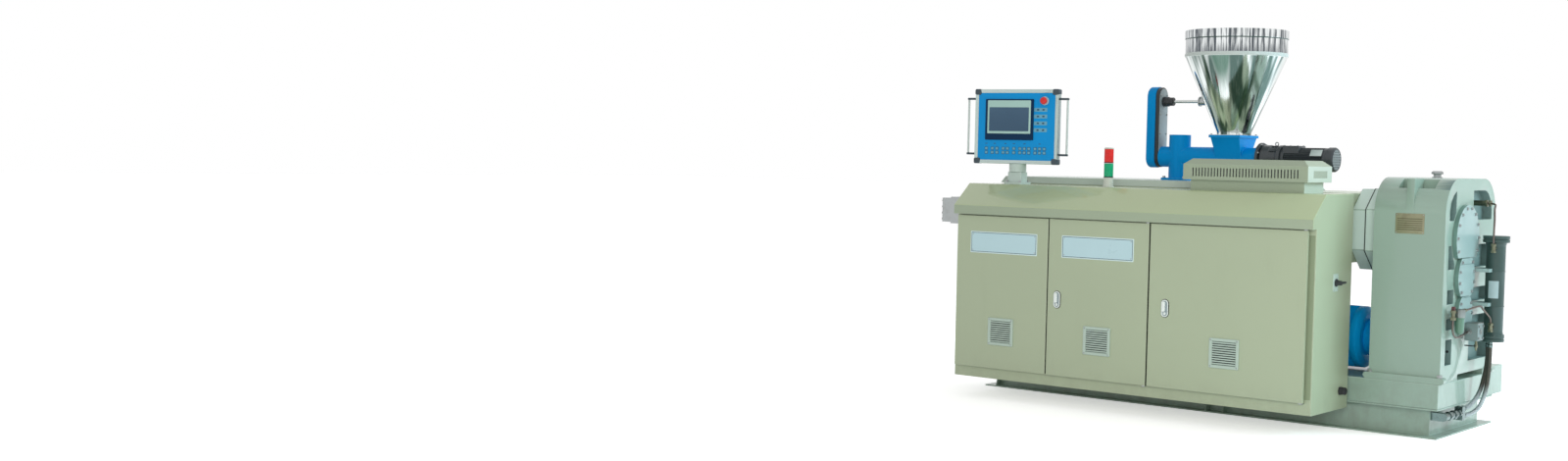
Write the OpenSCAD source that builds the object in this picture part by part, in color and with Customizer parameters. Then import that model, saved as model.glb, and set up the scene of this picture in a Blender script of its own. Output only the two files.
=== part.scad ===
// Twin-screw plastic extruder with its cabinet, hopper, gearbox and oil cooler.
// X runs along the machine towards the gearbox, Y away from the operator, Z up.

/* [Base] */
// Length of the base frame
base_len = 2650; // [2300:10:3000]
// Reach of the base behind the plinth
base_behind = 43; // [30:1:60]
// Height of the channel rails
base_h = 149; // [130:1:180]
// Width of a channel flange
channel_flange = 57; // [45:1:70]
// Thickness of the channel steel
channel_t = 8; // [6:1:12]
// Width of a cross beam
beam_w = 80; // [60:5:120]
// Reach of the plinth in front of the gearbox
plinth_front = 17; // [15:1:30]
// Height of the screw axis above the floor
axis_h = 1017; // [990:1:1040]
// Length of the plinth under motor and gearbox
plinth_len = 1300; // [1200:10:1500]
// Height of the plinth
plinth_h = 124; // [100:1:150]
// Reach of the plinth behind the gearbox
plinth_back = 21; // [15:1:30]
// Length of the small tank behind the plinth
tank_len = 145; // [100:5:220]
// Depth of the small tank
tank_w = 188; // [120:2:240]
// Height of the small tank
tank_h = 150; // [100:5:200]

/* [Gearbox] */
// Length of the gearbox along the machine
gear_len = 357; // [320:1:420]
// Width of the gearbox
gear_w = 742; // [700:2:760]
// Rise of the gearbox top above the screw axis
gear_rise = 273; // [253:1:313]
// Radius of the arched top corners
gear_arch_r = 180; // [120:5:240]
// Thickness of the gearbox foot bars
foot_t = 32; // [24:1:40]
// Reach of the foot bars past the gearbox ends
foot_out = 25; // [10:1:40]
// Width of the rim round the end face
end_rim = 60; // [45:1:70]
// Depth of the pockets in the end face
pocket_depth = 45; // [25:1:80]
// Width of the front column of pockets
pocket_w = 90; // [60:1:100]
// Radius of the upper bearing cover
upper_cover_r = 166; // [150:1:172]
// Radius of the middle bearing cover
middle_cover_r = 121; // [110:1:126]
// Radius of the lower bearing cover
lower_cover_r = 105; // [96:1:110]
// Thickness of the bearing covers
cover_t = 22; // [14:1:30]
// Length of the lantern between barrel and gearbox
lantern_len = 141; // [100:1:180]
// Width of the lantern
lantern_w = 610; // [560:2:640]
// Height of the lantern
lantern_h = 422; // [400:2:440]
// Chamfer of the lantern, sideways
lantern_cut_y = 122; // [90:1:140]
// Chamfer of the lantern, upwards
lantern_cut_z = 105; // [80:1:120]

/* [Motor] */
// Radius of the main motor
motor_r = 162; // [140:1:166]
// Height of the motor shaft above the plinth
motor_shaft_h = 170; // [168:1:190]
// Length of the motor body
motor_len = 500; // [400:10:600]
// Length of the motor's fan cowl
cowl_len = 150; // [100:5:200]
// Length of the coupling guard
coupling_len = 136; // [120:1:180]

/* [Barrel] */
// Reach of the barrel cover past each side of the gearbox
cover_lip = 10; // [5:1:20]
// Height of the underside of the barrel cover
cover_bottom = 845; // [780:5:850]
// Height of the lid of the barrel cover
lid_h = 38; // [25:1:50]
// Reach of the lid past the barrel cover's left end
lid_over = 20; // [0:1:40]
// Distance of the lid's right end from that of the barrel cover
lid_short = 431; // [0:1:500]
// Reach of the barrel cover past the cabinet's left end
cover_over = 9; // [5:1:60]
// Diameter of the barrel
barrel_d = 230; // [180:2:260]
// Reach of the barrel out of its cover
barrel_out = 120; // [60:5:160]
// Diameter of the barrel flange
flange_d = 320; // [290:2:340]
// Thickness of the barrel flange
flange_t = 50; // [30:2:60]
// Diameter of the die adapter
adapter_d = 170; // [140:2:180]
// Length of the die adapter
adapter_len = 190; // [140:5:240]
// Height of the die plates
die_h = 165; // [150:1:200]
// Width of the die plates
die_w = 210; // [180:2:260]
// Thickness of one die plate
die_plate_t = 67; // [40:1:90]
// Number of die plates
die_plates_n = 4; // [2:1:6]
// Width of the leg that carries the barrel
leg_w = 300; // [200:10:400]
// Length of the leg along the machine
leg_len = 110; // [80:5:160]
// Distance from the left end of the base to the leg
leg_in = 190; // [150:5:300]

/* [Cabinet] */
// Distance from the right end of the base to the cabinet
cab_gap = 454; // [430:2:520]
// Height of the cabinet's underside
cab_bottom = 114; // [100:1:140]
// Depth of the cabinet
cab_depth = 450; // [400:5:470]
// Gap between the cabinet and the base
cab_back_gap = 10; // [6:1:16]
// Thickness of the cabinet's sheets
sheet_t = 4; // [3:0.5:6]
// Width of the fixed left panel
panel_w = 609; // [550:1:680]
// Width of the middle door
door_middle_w = 608; // [550:1:680]
// Width of the right door
door_right_w = 852; // [780:1:900]
// Width of the frame to the right of the doors
right_margin = 33; // [20:1:60]
// Height of the frame below the doors
door_sill = 62; // [50:1:90]
// Thickness of the doors
door_t = 18; // [16:1:24]
// Gap between the doors and the frame
door_gap = 10; // [9:0.5:14]
// Gap between two doors
door_seam = 8; // [8:0.5:12]
// Step from the cabinet's left end to the left panel
panel_in = 15; // [0:1:20]
// Depth of the frame bars
frame_t = 30; // [20:1:50]
// Width of a frame post
post_w = 50; // [40:1:60]
// Height of the hood's lower edge
hood_lip = 1029; // [1000:1:1040]
// Height of the hood's crease
hood_crease = 1079; // [1060:1:1100]
// Height of the hood's top
hood_top = 1200; // [1180:1:1230]
// Reach of the hood in front of the frame
hood_out = 47; // [40:1:70]
// Setback of the hood's top edge
hood_slope = 150; // [100:2:180]
// Radius of the hinge pins
pin_r = 3; // [2.5:0.1:3.4]

/* [Fittings] */
// Width of a louvre vent
vent_w = 162; // [130:1:200]
// Height of a louvre vent
vent_h = 152; // [120:1:190]
// Height of a vent's lower edge
vent_z = 307; // [280:1:400]
// Thickness of a louvre vent
vent_t = 8; // [5:0.5:12]
// Number of louvres in a vent
louvres = 10; // [6:1:14]
// Width of a door latch
latch_w = 40; // [30:1:50]
// Height of a door latch
latch_h = 90; // [70:1:120]
// Thickness of a door latch
latch_t = 12; // [8:1:16]
// Height of the middle of a door latch
latch_z = 588; // [500:2:700]
// Length of the main switch lever
lever_len = 62; // [40:1:80]
// Height of the main switch
switch_z = 759; // [650:1:850]
// Radius of the cable gland
gland_r = 21; // [15:1:30]
// Length of the vent cover on the hood
cover_box_len = 678; // [600:2:720]
// Depth of the vent cover
cover_box_w = 295; // [250:1:300]
// Height of the vent cover's walls
cover_box_h = 80; // [70:1:110]
// Height of the skirt under the vent cover
skirt_h = 55; // [40:1:70]
// Height of the vent cover's hipped lid
hip_h = 29; // [15:1:45]
// Number of slots in the vent cover
slots = 34; // [20:1:38]
// Radius of the stack light
lamp_r = 25; // [20:1:30]
// Height of one lamp
lamp_h = 77; // [60:1:90]

/* [Control panel] */
// Width of the control panel
box_w = 500; // [440:2:560]
// Height of the control panel
box_h = 417; // [360:1:460]
// Depth of the control panel
box_t = 90; // [70:1:110]
// Height of the control panel's lower edge
box_z = 1314; // [1300:1:1400]
// Turn of the control panel towards the operator
box_turn = 10; // [0:1:20]
// Width of the aluminium frame round the panel
box_rim = 24; // [16:1:30]
// Depth of the panel's front frame
box_frame_t = 45; // [30:1:60]
// How far the case behind the frame is set in
case_in = 44; // [30:1:60]
// Width of the panel post
stand_w = 70; // [50:1:80]
// Depth of the panel post
stand_d = 60; // [44:1:70]
// Reach of the panel's side handles
grip_out = 46; // [40:1:60]
// Length of the panel's side handles
grip_len = 320; // [240:5:340]

/* [Feeder] */
// Distance from the right end of the base to the feed port
port_back = 1635; // [1550:5:1700]
// Distance from the feed port to the hopper
hopper_dx = 325; // [300:1:360]
// Height of the feeder tube
tube_z = 1372; // [1350:1:1400]
// Radius of the feeder tube
tube_r = 58; // [48:1:62]
// Length of the tube to the left of the feed port
tube_left = 108; // [90:1:140]
// Length of the tube to the right of the hopper
tube_right = 164; // [140:1:200]
// Radius of the hopper
hopper_r = 276; // [260:1:300]
// Height of the hopper's rim
hopper_top = 2072; // [2000:1:2150]
// Height of the hopper's straight wall
hopper_wall_h = 140; // [110:1:180]
// Height of the hopper's outlet
hopper_bottom = 1497; // [1490:1:1520]
// Radius of the hopper's outlet
outlet_r = 94; // [88:1:98]
// Thickness of the hopper's sheet
hopper_t = 4; // [2.5:0.5:6]
// Length of the neck under the hopper
neck_len = 170; // [160:1:200]
// Depth of the neck under the hopper
neck_w = 220; // [212:1:240]
// Height of the belt guard
guard_h = 460; // [440:1:500]
// Width of the belt guard
guard_w = 114; // [106:1:140]
// Thickness of the belt guard
guard_t = 56; // [30:1:70]
// Height of the stirrer shaft
stirrer_z = 1685; // [1670:1:1700]
// Radius of the stirrer shaft
stirrer_r = 9; // [7:0.5:11]
// Length of the feeder's reducer
reducer_len = 133; // [110:1:170]
// Length of the feeder's motor
feed_motor_len = 258; // [200:1:300]
// Radius of the feeder's motor
feed_motor_r = 66; // [55:1:70]

/* [Oil cooler] */
// Distance from the gearbox end to the filter axis
filter_out = 88; // [80:1:100]
// Distance from the screw axis to the filter, towards the back
filter_back = 129; // [110:1:150]
// Radius of the filter
filter_r = 47; // [40:1:52]
// Radius of the filter's upper flanges
filter_flange_r = 65; // [56:1:70]
// Radius of the filter's lower flanges
filter_foot_r = 55; // [52:1:60]
// Drop of the filter's top below the screw axis
filter_drop = 16; // [0:1:60]
// Length of the filter
filter_len = 541; // [520:1:560]
// Diameter of the cooler hoses
hose_d = 22; // [16:1:24]

/* [Hidden] */
$fn = 64;

// Running clearance of shafts and pins
run = 0.3;
// Seat clearance under a turning piece
seat = 0.5;
// Gap between a pipe's end and its fitting
touch = 0.2;
// Overlap that makes cuts pass through
cut = 1;

// Overall reach to each side of the base's right end and front
cab_len = panel_w + door_middle_w + door_right_w + right_margin;
gear_setback = 2;
reach_right = filter_out - gear_setback + filter_flange_r;
reach_left = cab_gap + cab_len + cover_over + barrel_out + flange_t + adapter_len + die_plates_n * die_plate_t;
plinth_in = 3;
plinth_w = plinth_front + gear_w + plinth_back;
base_w = plinth_in + plinth_w + base_behind;
axis_in = plinth_in + plinth_front + gear_w / 2;
reach_front = cab_back_gap + cab_depth + hood_out;
reach_back = plinth_in + plinth_w + tank_w;

// Places of the base, in the frame whose origin is under the middle of the machine
x_end = (reach_left - reach_right) / 2;
x_left = x_end - base_len;
y_front = (reach_front - reach_back) / 2;
y_axis = y_front + axis_in;
rail_depth = channel_flange + channel_t;
z_plinth = base_h + plinth_h;

// Places of the gearbox and the lantern
gear_right = x_end - gear_setback;
gear_left = gear_right - gear_len;
gear_top = axis_h + gear_rise;
cover_gap = 2;
cover_y = y_axis - 98;
upper_cover_z = axis_h - 25;
middle_cover_z = axis_h - 222;
lower_cover_z = axis_h - 407;
cover_split_high = axis_h - 125;
cover_split_low = axis_h - 319;
boss_margin = 10;
slot_h = 30;
slot_front = 120;
slot_back = 262;
lantern_left = gear_left - lantern_len;

// Places of the motor and the barrel
motor_y = y_axis - 20;
motor_z = z_plinth + motor_shaft_h;
motor_right = gear_left - coupling_len;
cover_right = lantern_left;
cover_half_w = gear_w / 2 + cover_lip;
cab_right = x_end - cab_gap;
cab_left = cab_right - cab_len;
cover_left = cab_left - cover_over;
lid_bottom = hood_top + 3;
lid_top = lid_bottom + lid_h;
lid_left = cover_left - lid_over;
lid_right = cover_right - lid_short;
leg_x = x_left + leg_in;

// Places of the cabinet
cab_back = y_front - cab_back_gap;
frame_front = cab_back - cab_depth;
door_back = frame_front - door_gap;
door_front = door_back - door_t;
hood_front = frame_front - hood_out;
hood_edge = hood_front + hood_slope;
door_bottom = cab_bottom + door_sill;
door_top = hood_lip - 7;
rail_lap = 14;
seam_left = cab_left + panel_w;
seam_middle = seam_left + door_middle_w;
door_end = seam_middle + door_right_w;
hinge_in_x = 11;
hinge_in_y = 7;
hinge_y = door_front + hinge_in_y;
middle_hinge_x = seam_middle - door_seam / 2 - hinge_in_x;
right_hinge_x = door_end - hinge_in_x;
pin_len = 14;

// Inner line of the hood, parallel to its outer line
slope_len = sqrt(hood_slope * hood_slope + (hood_top - hood_crease) * (hood_top - hood_crease));
slope_y = hood_slope / slope_len;
slope_z = (hood_top - hood_crease) / slope_len;
function hood_line(t) = [
    [hood_front + t, hood_lip],
    [hood_front + t, hood_crease - slope_y * t + (t - slope_z * t) / slope_y * slope_z],
    [hood_front + slope_z * t + (hood_top - t - hood_crease + slope_y * t) / slope_z * slope_y, hood_top - t],
    [cab_back, hood_top - t]
];

// Places of the control panel and the stack light
stand_x = cab_left + 266;
stand_y = hood_edge + 82;
stand_top = box_z - 46;
collar_r = 48;
swivel_r = 15;
swivel_len = 30;
lamp_x = cab_left + 866;
lamp_y = hood_edge + 42;

// Places of the feeder
port_x = x_end - port_back;
hopper_x = port_x + hopper_dx;
tube_start = port_x - tube_left;
tube_end = hopper_x + tube_right;
guard_z = 1309;
plate_t = 24;
bearing_len = 62;
cone_top = hopper_top - hopper_wall_h;
cone_slope = (hopper_r - outlet_r) / (cone_top - hopper_bottom - 13);
stirrer_cone_r = outlet_r + (stirrer_z - hopper_bottom - 13) * cone_slope;
boss_r = 28;
boss_out = 42;

// Places of the oil cooler
filter_top = axis_h - filter_drop;
filter_bottom = filter_top - filter_len;
filter_x = gear_right + filter_out;
filter_y = y_axis + filter_back;
port_near = [-6, -16];
port_far = [-26, 12];
elbow_x = filter_x + 10;
elbow_y = filter_y - 76;
hose_end_z = filter_bottom - 30;
pump_y = y_axis - 258;
can_x = gear_right + 49;
can_bottom = lower_cover_z - 71;
can_top = lower_cover_z - 8;
cap_top = lower_cover_z + 34;
cap_out = 12;
cap_back = 37;
cap_pipe_z = lower_cover_z + 27;
inlet_x = gear_right + 31;
inlet_y = pump_y - 47;
inlet_bottom = lower_cover_z - 20;
pump_front = y_axis - 100;
pump_bottom = lower_cover_z - 134;
pump_top = lower_cover_z - 44;
low_elbow_top = lower_cover_z - 50;
high_elbow_top = filter_top - 38;
pipe_top_y = y_axis + 143;
pipe_top_z = gear_top - 125;
pipe_fit_len = 30;
function between(low, high, part) = low + (high - low) * part;
fitting_x = gear_right + 7;
fitting_y = y_axis - 31;
near_outlet_z = 86;
far_outlet_z = 122;

// Hose routes, from the fittings on the base to the filter
near_route = [
    [fitting_x, fitting_y + touch, near_outlet_z],
    [fitting_x, fitting_y + 22, near_outlet_z],
    [fitting_x + 18, fitting_y + 60, near_outlet_z + 6],
    [fitting_x + 42, fitting_y + 95, near_outlet_z + 32],
    [fitting_x + 58, fitting_y + 118, near_outlet_z + 79],
    [filter_x + port_near[0] - 7, filter_y + port_near[1] - 13, between(near_outlet_z + 79, hose_end_z, 0.226)],
    [filter_x + port_near[0] - 2, filter_y + port_near[1] - 4, between(near_outlet_z + 79, hose_end_z, 0.509)],
    [filter_x + port_near[0], filter_y + port_near[1], between(near_outlet_z + 79, hose_end_z, 0.792)],
    [filter_x + port_near[0], filter_y + port_near[1], hose_end_z - touch]
];
far_route = [
    [fitting_x, fitting_y + touch, far_outlet_z],
    [fitting_x, fitting_y + 24, far_outlet_z],
    [fitting_x + 12, fitting_y + 60, far_outlet_z + 12],
    [fitting_x + 27, fitting_y + 97, far_outlet_z + 43],
    [fitting_x + 40, fitting_y + 127, far_outlet_z + 88],
    [filter_x + port_far[0] - 7, filter_y + port_far[1] - 23, between(far_outlet_z + 88, hose_end_z, 0.273)],
    [filter_x + port_far[0] - 2, filter_y + port_far[1] - 7, between(far_outlet_z + 88, hose_end_z, 0.545)],
    [filter_x + port_far[0], filter_y + port_far[1], between(far_outlet_z + 88, hose_end_z, 0.795)],
    [filter_x + port_far[0], filter_y + port_far[1], hose_end_z - touch]
];

// Pipe routes on the gearbox end
pipe_r = 5;
top_pipe_route = [
    [gear_right + pipe_fit_len + touch, pipe_top_y, pipe_top_z],
    [gear_right + pipe_fit_len + 18, pipe_top_y, pipe_top_z],
    [gear_right + pipe_fit_len + 48, pipe_top_y - 19, between(high_elbow_top, pipe_top_z, 0.97)],
    [elbow_x - 8, elbow_y + 24, between(high_elbow_top, pipe_top_z, 0.851)],
    [elbow_x, elbow_y + 4, between(high_elbow_top, pipe_top_z, 0.614)],
    [elbow_x, elbow_y, between(high_elbow_top, pipe_top_z, 0.317)],
    [elbow_x, elbow_y, high_elbow_top + touch]
];
arch_pipe_route = [
    [can_x + cap_out, pump_y + cap_back + touch, cap_pipe_z],
    [can_x + cap_out, pump_y + cap_back + 16, cap_pipe_z],
    [can_x + 24, pump_y + 103, cap_pipe_z + 8],
    [can_x + 36, pump_y + 188, cap_pipe_z + 14],
    [elbow_x - 14, elbow_y - 76, cap_pipe_z - 5],
    [elbow_x - 5, elbow_y - 36, between(low_elbow_top, cap_pipe_z, 0.584)],
    [elbow_x - 1, elbow_y - 9, between(low_elbow_top, cap_pipe_z, 0.338)],
    [elbow_x, elbow_y, low_elbow_top + 12],
    [elbow_x, elbow_y, low_elbow_top + touch]
];
bend_pipe_route = [
    [inlet_x, inlet_y, inlet_bottom - touch],
    [inlet_x, inlet_y, inlet_bottom - 25],
    [inlet_x, inlet_y + 3, inlet_bottom - 55],
    [inlet_x + 1, inlet_y + 26, inlet_bottom - 80],
    [inlet_x + 5, inlet_y + 62, inlet_bottom - 89],
    [inlet_x + 8, pump_front - 89, inlet_bottom - 82],
    [inlet_x + 10, pump_front - 39, inlet_bottom - 74],
    [inlet_x + 10, pump_front - 19, inlet_bottom - 69],
    [inlet_x + 10, pump_front - touch, inlet_bottom - 69]
];

// Curve through route points, as Catmull-Rom spans
function span_point(a, b, c, d, t) =
    0.5 * (2 * b + (c - a) * t + (2 * a - 5 * b + 4 * c - d) * t * t + (3 * b - a - 3 * c + d) * t * t * t);
function smooth(route, steps) = [
    for (i = [0 : len(route) - 2])
        for (k = [0 : steps - 1])
            span_point(
                i == 0 ? 2 * route[0] - route[1] : route[i - 1],
                route[i],
                route[i + 1],
                i + 2 < len(route) ? route[i + 2] : 2 * route[i + 1] - route[i],
                k / steps),
    route[len(route) - 1]
];
function unit(v) = v / norm(v);
function along(path, route, i) =
    i == 0 ? unit(route[1] - route[0]) :
    i == len(path) - 1 ? unit(route[len(route) - 1] - route[len(route) - 2]) :
    unit(path[i + 1] - path[i - 1]);

// Round tube swept along a path; the side vector is never parallel to the path
module tube(route, r, sides, steps, side) {
    path = smooth(route, steps);
    rings = len(path);
    points = [
        for (i = [0 : rings - 1])
            let (
                t = along(path, route, i),
                u = unit(cross(t, side)),
                v = cross(t, u)
            )
            for (k = [0 : sides - 1])
                path[i] + r * (cos(360 * k / sides) * u + sin(360 * k / sides) * v)
    ];
    walls = [
        for (i = [0 : rings - 2])
            for (k = [0 : sides - 1])
                [i * sides + k, i * sides + (k + 1) % sides,
                 (i + 1) * sides + (k + 1) % sides, (i + 1) * sides + k]
    ];
    start = [[for (k = [0 : sides - 1]) sides - 1 - k]];
    end = [[for (k = [0 : sides - 1]) (rings - 1) * sides + k]];
    polyhedron(points, concat(walls, start, end));
}

// Shared shapes
module block(low, high) {
    translate(low) cube(high - low);
}
module rod_x(x, y, z, len, r) {
    translate([x, y, z]) rotate([0, 90, 0]) cylinder(h = len, r = r);
}
module rod_y(x, y, z, len, r) {
    translate([x, y, z]) rotate([-90, 0, 0]) cylinder(h = len, r = r);
}
module rod_z(x, y, z, len, r) {
    translate([x, y, z]) cylinder(h = len, r = r);
}
// Outline drawn in Y and Z, carried along X
module along_x(x, len) {
    translate([x, 0, 0]) rotate([90, 0, 90]) linear_extrude(len) children();
}
// Outline drawn in X and Z, carried along Y
module along_y(y, len) {
    translate([0, y + len, 0]) rotate([90, 0, 0]) linear_extrude(len) children();
}
// Box whose top is smaller than its base by the same inset on all sides
module hipped(low, high, inset) {
    intersection() {
        along_x(low[0], high[0] - low[0])
            polygon([[low[1], low[2]], [high[1], low[2]], [high[1] - inset, high[2]], [low[1] + inset, high[2]]]);
        along_y(low[1], high[1] - low[1])
            polygon([[low[0], low[2]], [high[0], low[2]], [high[0] - inset, high[2]], [low[0] + inset, high[2]]]);
    }
}
module mitre_outline(len, near, far) {
    polygon([[near, near], [len - near, near], [len - far, far], [far, far]]);
}
module mitred_rail(len) {
    for (z = [0, base_h - channel_t])
        translate([0, 0, z]) linear_extrude(channel_t) mitre_outline(len, 0, rail_depth);
    linear_extrude(base_h) mitre_outline(len, channel_flange, rail_depth);
}

// Base frame
module base_long_rails() {
    color("darkseagreen") {
        translate([x_left, y_front, 0]) mitred_rail(base_len);
        translate([x_left, y_front + base_w, 0]) mirror([0, 1, 0]) mitred_rail(base_len);
    }
}
module base_end_rails() {
    color("darkseagreen") {
        translate([x_left, y_front, 0]) mirror([1, -1, 0]) mitred_rail(base_w);
        translate([x_end, y_front, 0]) mirror([1, 0, 0]) mirror([1, -1, 0]) mitred_rail(base_w);
    }
}
module base_stiffeners() {
    beams = [leg_x, x_end - plinth_len + beam_w / 2, x_end - cab_gap - beam_w];
    gussets = [x_left + 70, x_end - 1245, x_end - 1145];
    color("darkseagreen") {
        for (x = beams)
            block([x - beam_w / 2, y_front + rail_depth, 0], [x + beam_w / 2, y_front + base_w - rail_depth, base_h]);
        for (x = gussets)
            along_x(x, channel_t)
                polygon([
                    [y_front + 4, channel_t],
                    [y_front + channel_flange, channel_t],
                    [y_front + channel_flange, base_h - channel_t]
                ]);
    }
}
module plinth() {
    color("darkseagreen")
        block([x_end - plinth_len, y_front + plinth_in, base_h], [x_end, y_front + plinth_in + plinth_w, z_plinth]);
}
module oil_tank() {
    back = y_front + plinth_in + plinth_w;
    color("darkseagreen") block([x_end - tank_len, back, base_h], [x_end, back + tank_w, base_h + tank_h]);
}

// Gearbox
module arch_outline(margin) {
    half = gear_w / 2 - margin;
    r = gear_arch_r - margin;
    top = gear_top - margin;
    translate([y_axis, 0]) {
        translate([-half, z_plinth + margin]) square([2 * half, top - r - z_plinth - margin]);
        translate([r - half, z_plinth + margin]) square([2 * (half - r), top - z_plinth - margin]);
        for (side = [-1, 1])
            translate([side * (half - r), top - r]) circle(r);
    }
}
module bearing_bosses(grow, x, len) {
    rod_x(x, cover_y, upper_cover_z, len, upper_cover_r + grow);
    rod_x(x, cover_y, middle_cover_z, len, middle_cover_r + grow);
    rod_x(x, cover_y, lower_cover_z, len, lower_cover_r + grow);
}
module end_pockets() {
    x = gear_right - pocket_depth;
    front = y_axis - gear_w / 2 + end_rim;
    back = y_axis + gear_w / 2 - end_rim;
    rows = [
        [between(z_plinth, lower_cover_z, 0.261), between(z_plinth, lower_cover_z, 0.638)],
        [between(z_plinth, lower_cover_z, 0.783), between(z_plinth, lower_cover_z, 0.95)],
        [middle_cover_z - 130, middle_cover_z - 59],
        [middle_cover_z + 43, upper_cover_z - 37],
        [upper_cover_z + 88, gear_top]
    ];
    difference() {
        intersection() {
            along_x(x, pocket_depth + cut) arch_outline(end_rim);
            union() {
                for (row = rows) {
                    block([x, front, row[0]], [gear_right + cut, front + pocket_w, row[1]]);
                    block([x, y_axis + 29, row[0]], [gear_right + cut, back, row[1]]);
                }
            }
        }
        bearing_bosses(boss_margin, x - cut, pocket_depth + 3 * cut);
    }
}
notch_y = 130;
module lifting_notch() {
    front = y_axis - gear_w / 2;
    block([gear_left + 100, front - cut, gear_top - 53], [gear_left + 281, front + notch_y, gear_top + cut]);
}
module lifting_rib() {
    front = y_axis - gear_w / 2;
    block([gear_left + 161, front, gear_top - gear_arch_r], [gear_left + 199, front + notch_y + cut, gear_top - 5]);
}
module foot_bar(y, depth) {
    rod_y(gear_left - foot_out + foot_t / 2, y, z_plinth + foot_t / 2, depth, foot_t / 2);
    rod_y(gear_right + foot_out - foot_t / 2, y, z_plinth + foot_t / 2, depth, foot_t / 2);
    block([gear_left - foot_out + foot_t / 2, y, z_plinth], [gear_right + foot_out - foot_t / 2, y + depth, z_plinth + foot_t]);
}
module gearbox_housing() {
    bar_y = 50;
    bar_proud = 14;
    color("darkseagreen") {
        difference() {
            union() {
                along_x(gear_left, gear_len) arch_outline(0);
                foot_bar(y_axis - gear_w / 2 - bar_proud, bar_y);
                foot_bar(y_axis + gear_w / 2 + bar_proud - bar_y, bar_y);
            }
            end_pockets();
            lifting_notch();
            block([gear_right - 80, y_axis - slot_front, z_plinth - cut], [gear_right + cut, y_axis + slot_back, z_plinth + slot_h]);
        }
        lifting_rib();
    }
}
module gearbox_covers() {
    half = upper_cover_r + cut;
    color("lightsteelblue") {
        intersection() {
            rod_x(gear_right, cover_y, upper_cover_z, cover_t, upper_cover_r);
            block([gear_right, cover_y - half, cover_split_high + cover_gap / 2], [gear_right + cover_t, cover_y + half, gear_top]);
        }
        intersection() {
            rod_x(gear_right, cover_y, middle_cover_z, cover_t, middle_cover_r);
            block([gear_right, cover_y - half, cover_split_low + cover_gap / 2],
                  [gear_right + cover_t, cover_y + half, cover_split_high - cover_gap / 2]);
        }
        intersection() {
            rod_x(gear_right, cover_y, lower_cover_z, cover_t, lower_cover_r);
            block([gear_right, cover_y - half, z_plinth], [gear_right + cover_t, cover_y + half, cover_split_low - cover_gap / 2]);
        }
    }
}
module gearbox_breather() {
    color("silver")
        translate([gear_left + 198, y_axis - 56, gear_top])
            rotate_extrude()
                polygon([[0, 0], [26, 0], [26, 5], [20, 5], [20, 19], [29, 19], [29, 30], [24, 35], [0, 35]]);
}

// Lantern, an octagon in two bolted halves
module octagon(margin) {
    half_y = lantern_w / 2 - margin;
    half_z = lantern_h / 2 - margin;
    translate([y_axis, axis_h])
        polygon([
            [-half_y, -half_z + lantern_cut_z], [-half_y + lantern_cut_y, -half_z],
            [half_y - lantern_cut_y, -half_z], [half_y, -half_z + lantern_cut_z],
            [half_y, half_z - lantern_cut_z], [half_y - lantern_cut_y, half_z],
            [-half_y + lantern_cut_y, half_z], [-half_y, half_z - lantern_cut_z]
        ]);
}
module lantern_gear_half() {
    color("darkseagreen") along_x(gear_left - lantern_len / 2, lantern_len / 2) octagon(0);
}
module lantern_barrel_half() {
    color("darkseagreen") along_x(lantern_left, lantern_len / 2) octagon(3);
}

// Main motor
module main_motor() {
    foot_y = 254;
    foot_x = 250;
    body_left = motor_right - motor_len;
    color("steelblue") {
        rod_x(body_left, motor_y, motor_z, motor_len, motor_r);
        rod_x(body_left - cowl_len, motor_y, motor_z, cowl_len, motor_r - 6);
        block([body_left + 120, motor_y - foot_y / 2, z_plinth], [body_left + 120 + foot_x, motor_y + foot_y / 2, motor_z]);
        block([body_left + 140, motor_y, motor_z - 70], [body_left + 320, motor_y + motor_r + 60, motor_z + 70]);
    }
}
module motor_coupling() {
    color("gray") rod_x(motor_right, motor_y, motor_z, coupling_len, 95);
}

// Barrel, its cover and the die
module barrel_leg() {
    color("darkseagreen")
        block([leg_x - leg_len / 2, y_axis - leg_w / 2, base_h], [leg_x + leg_len / 2, y_axis + leg_w / 2, cover_bottom]);
}
module barrel_cover() {
    color("darkkhaki")
        block([cover_left, y_axis - cover_half_w, cover_bottom], [cover_right, y_axis + cover_half_w, lid_bottom]);
}
module barrel_lid() {
    lid_hip = 20;
    color("darkkhaki")
        hipped([lid_left, y_axis - cover_half_w, lid_bottom], [lid_right, y_axis + cover_half_w, lid_top], lid_hip);
}
module barrel_end() {
    flange_left = cover_left - barrel_out - flange_t;
    color("slategray") {
        rod_x(cover_left - barrel_out, y_axis, axis_h, barrel_out, barrel_d / 2);
        rod_x(flange_left, y_axis, axis_h, flange_t, flange_d / 2);
        rod_x(flange_left - adapter_len, y_axis, axis_h, adapter_len, adapter_d / 2);
    }
}
module die_plates() {
    die_right = cover_left - barrel_out - flange_t - adapter_len;
    die_seam = 0.4;
    step_in = 8;
    color("silver")
        for (i = [0 : die_plates_n - 1]) {
            right = die_right - i * die_plate_t;
            grow = (i % 2) * step_in;
            left = right - die_plate_t + (i < die_plates_n - 1 ? die_seam : 0);
            block([left, y_axis - die_w / 2 + grow, axis_h - die_h / 2 + grow],
                  [right, y_axis + die_w / 2 - grow, axis_h + die_h / 2 - grow]);
        }
}

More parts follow.
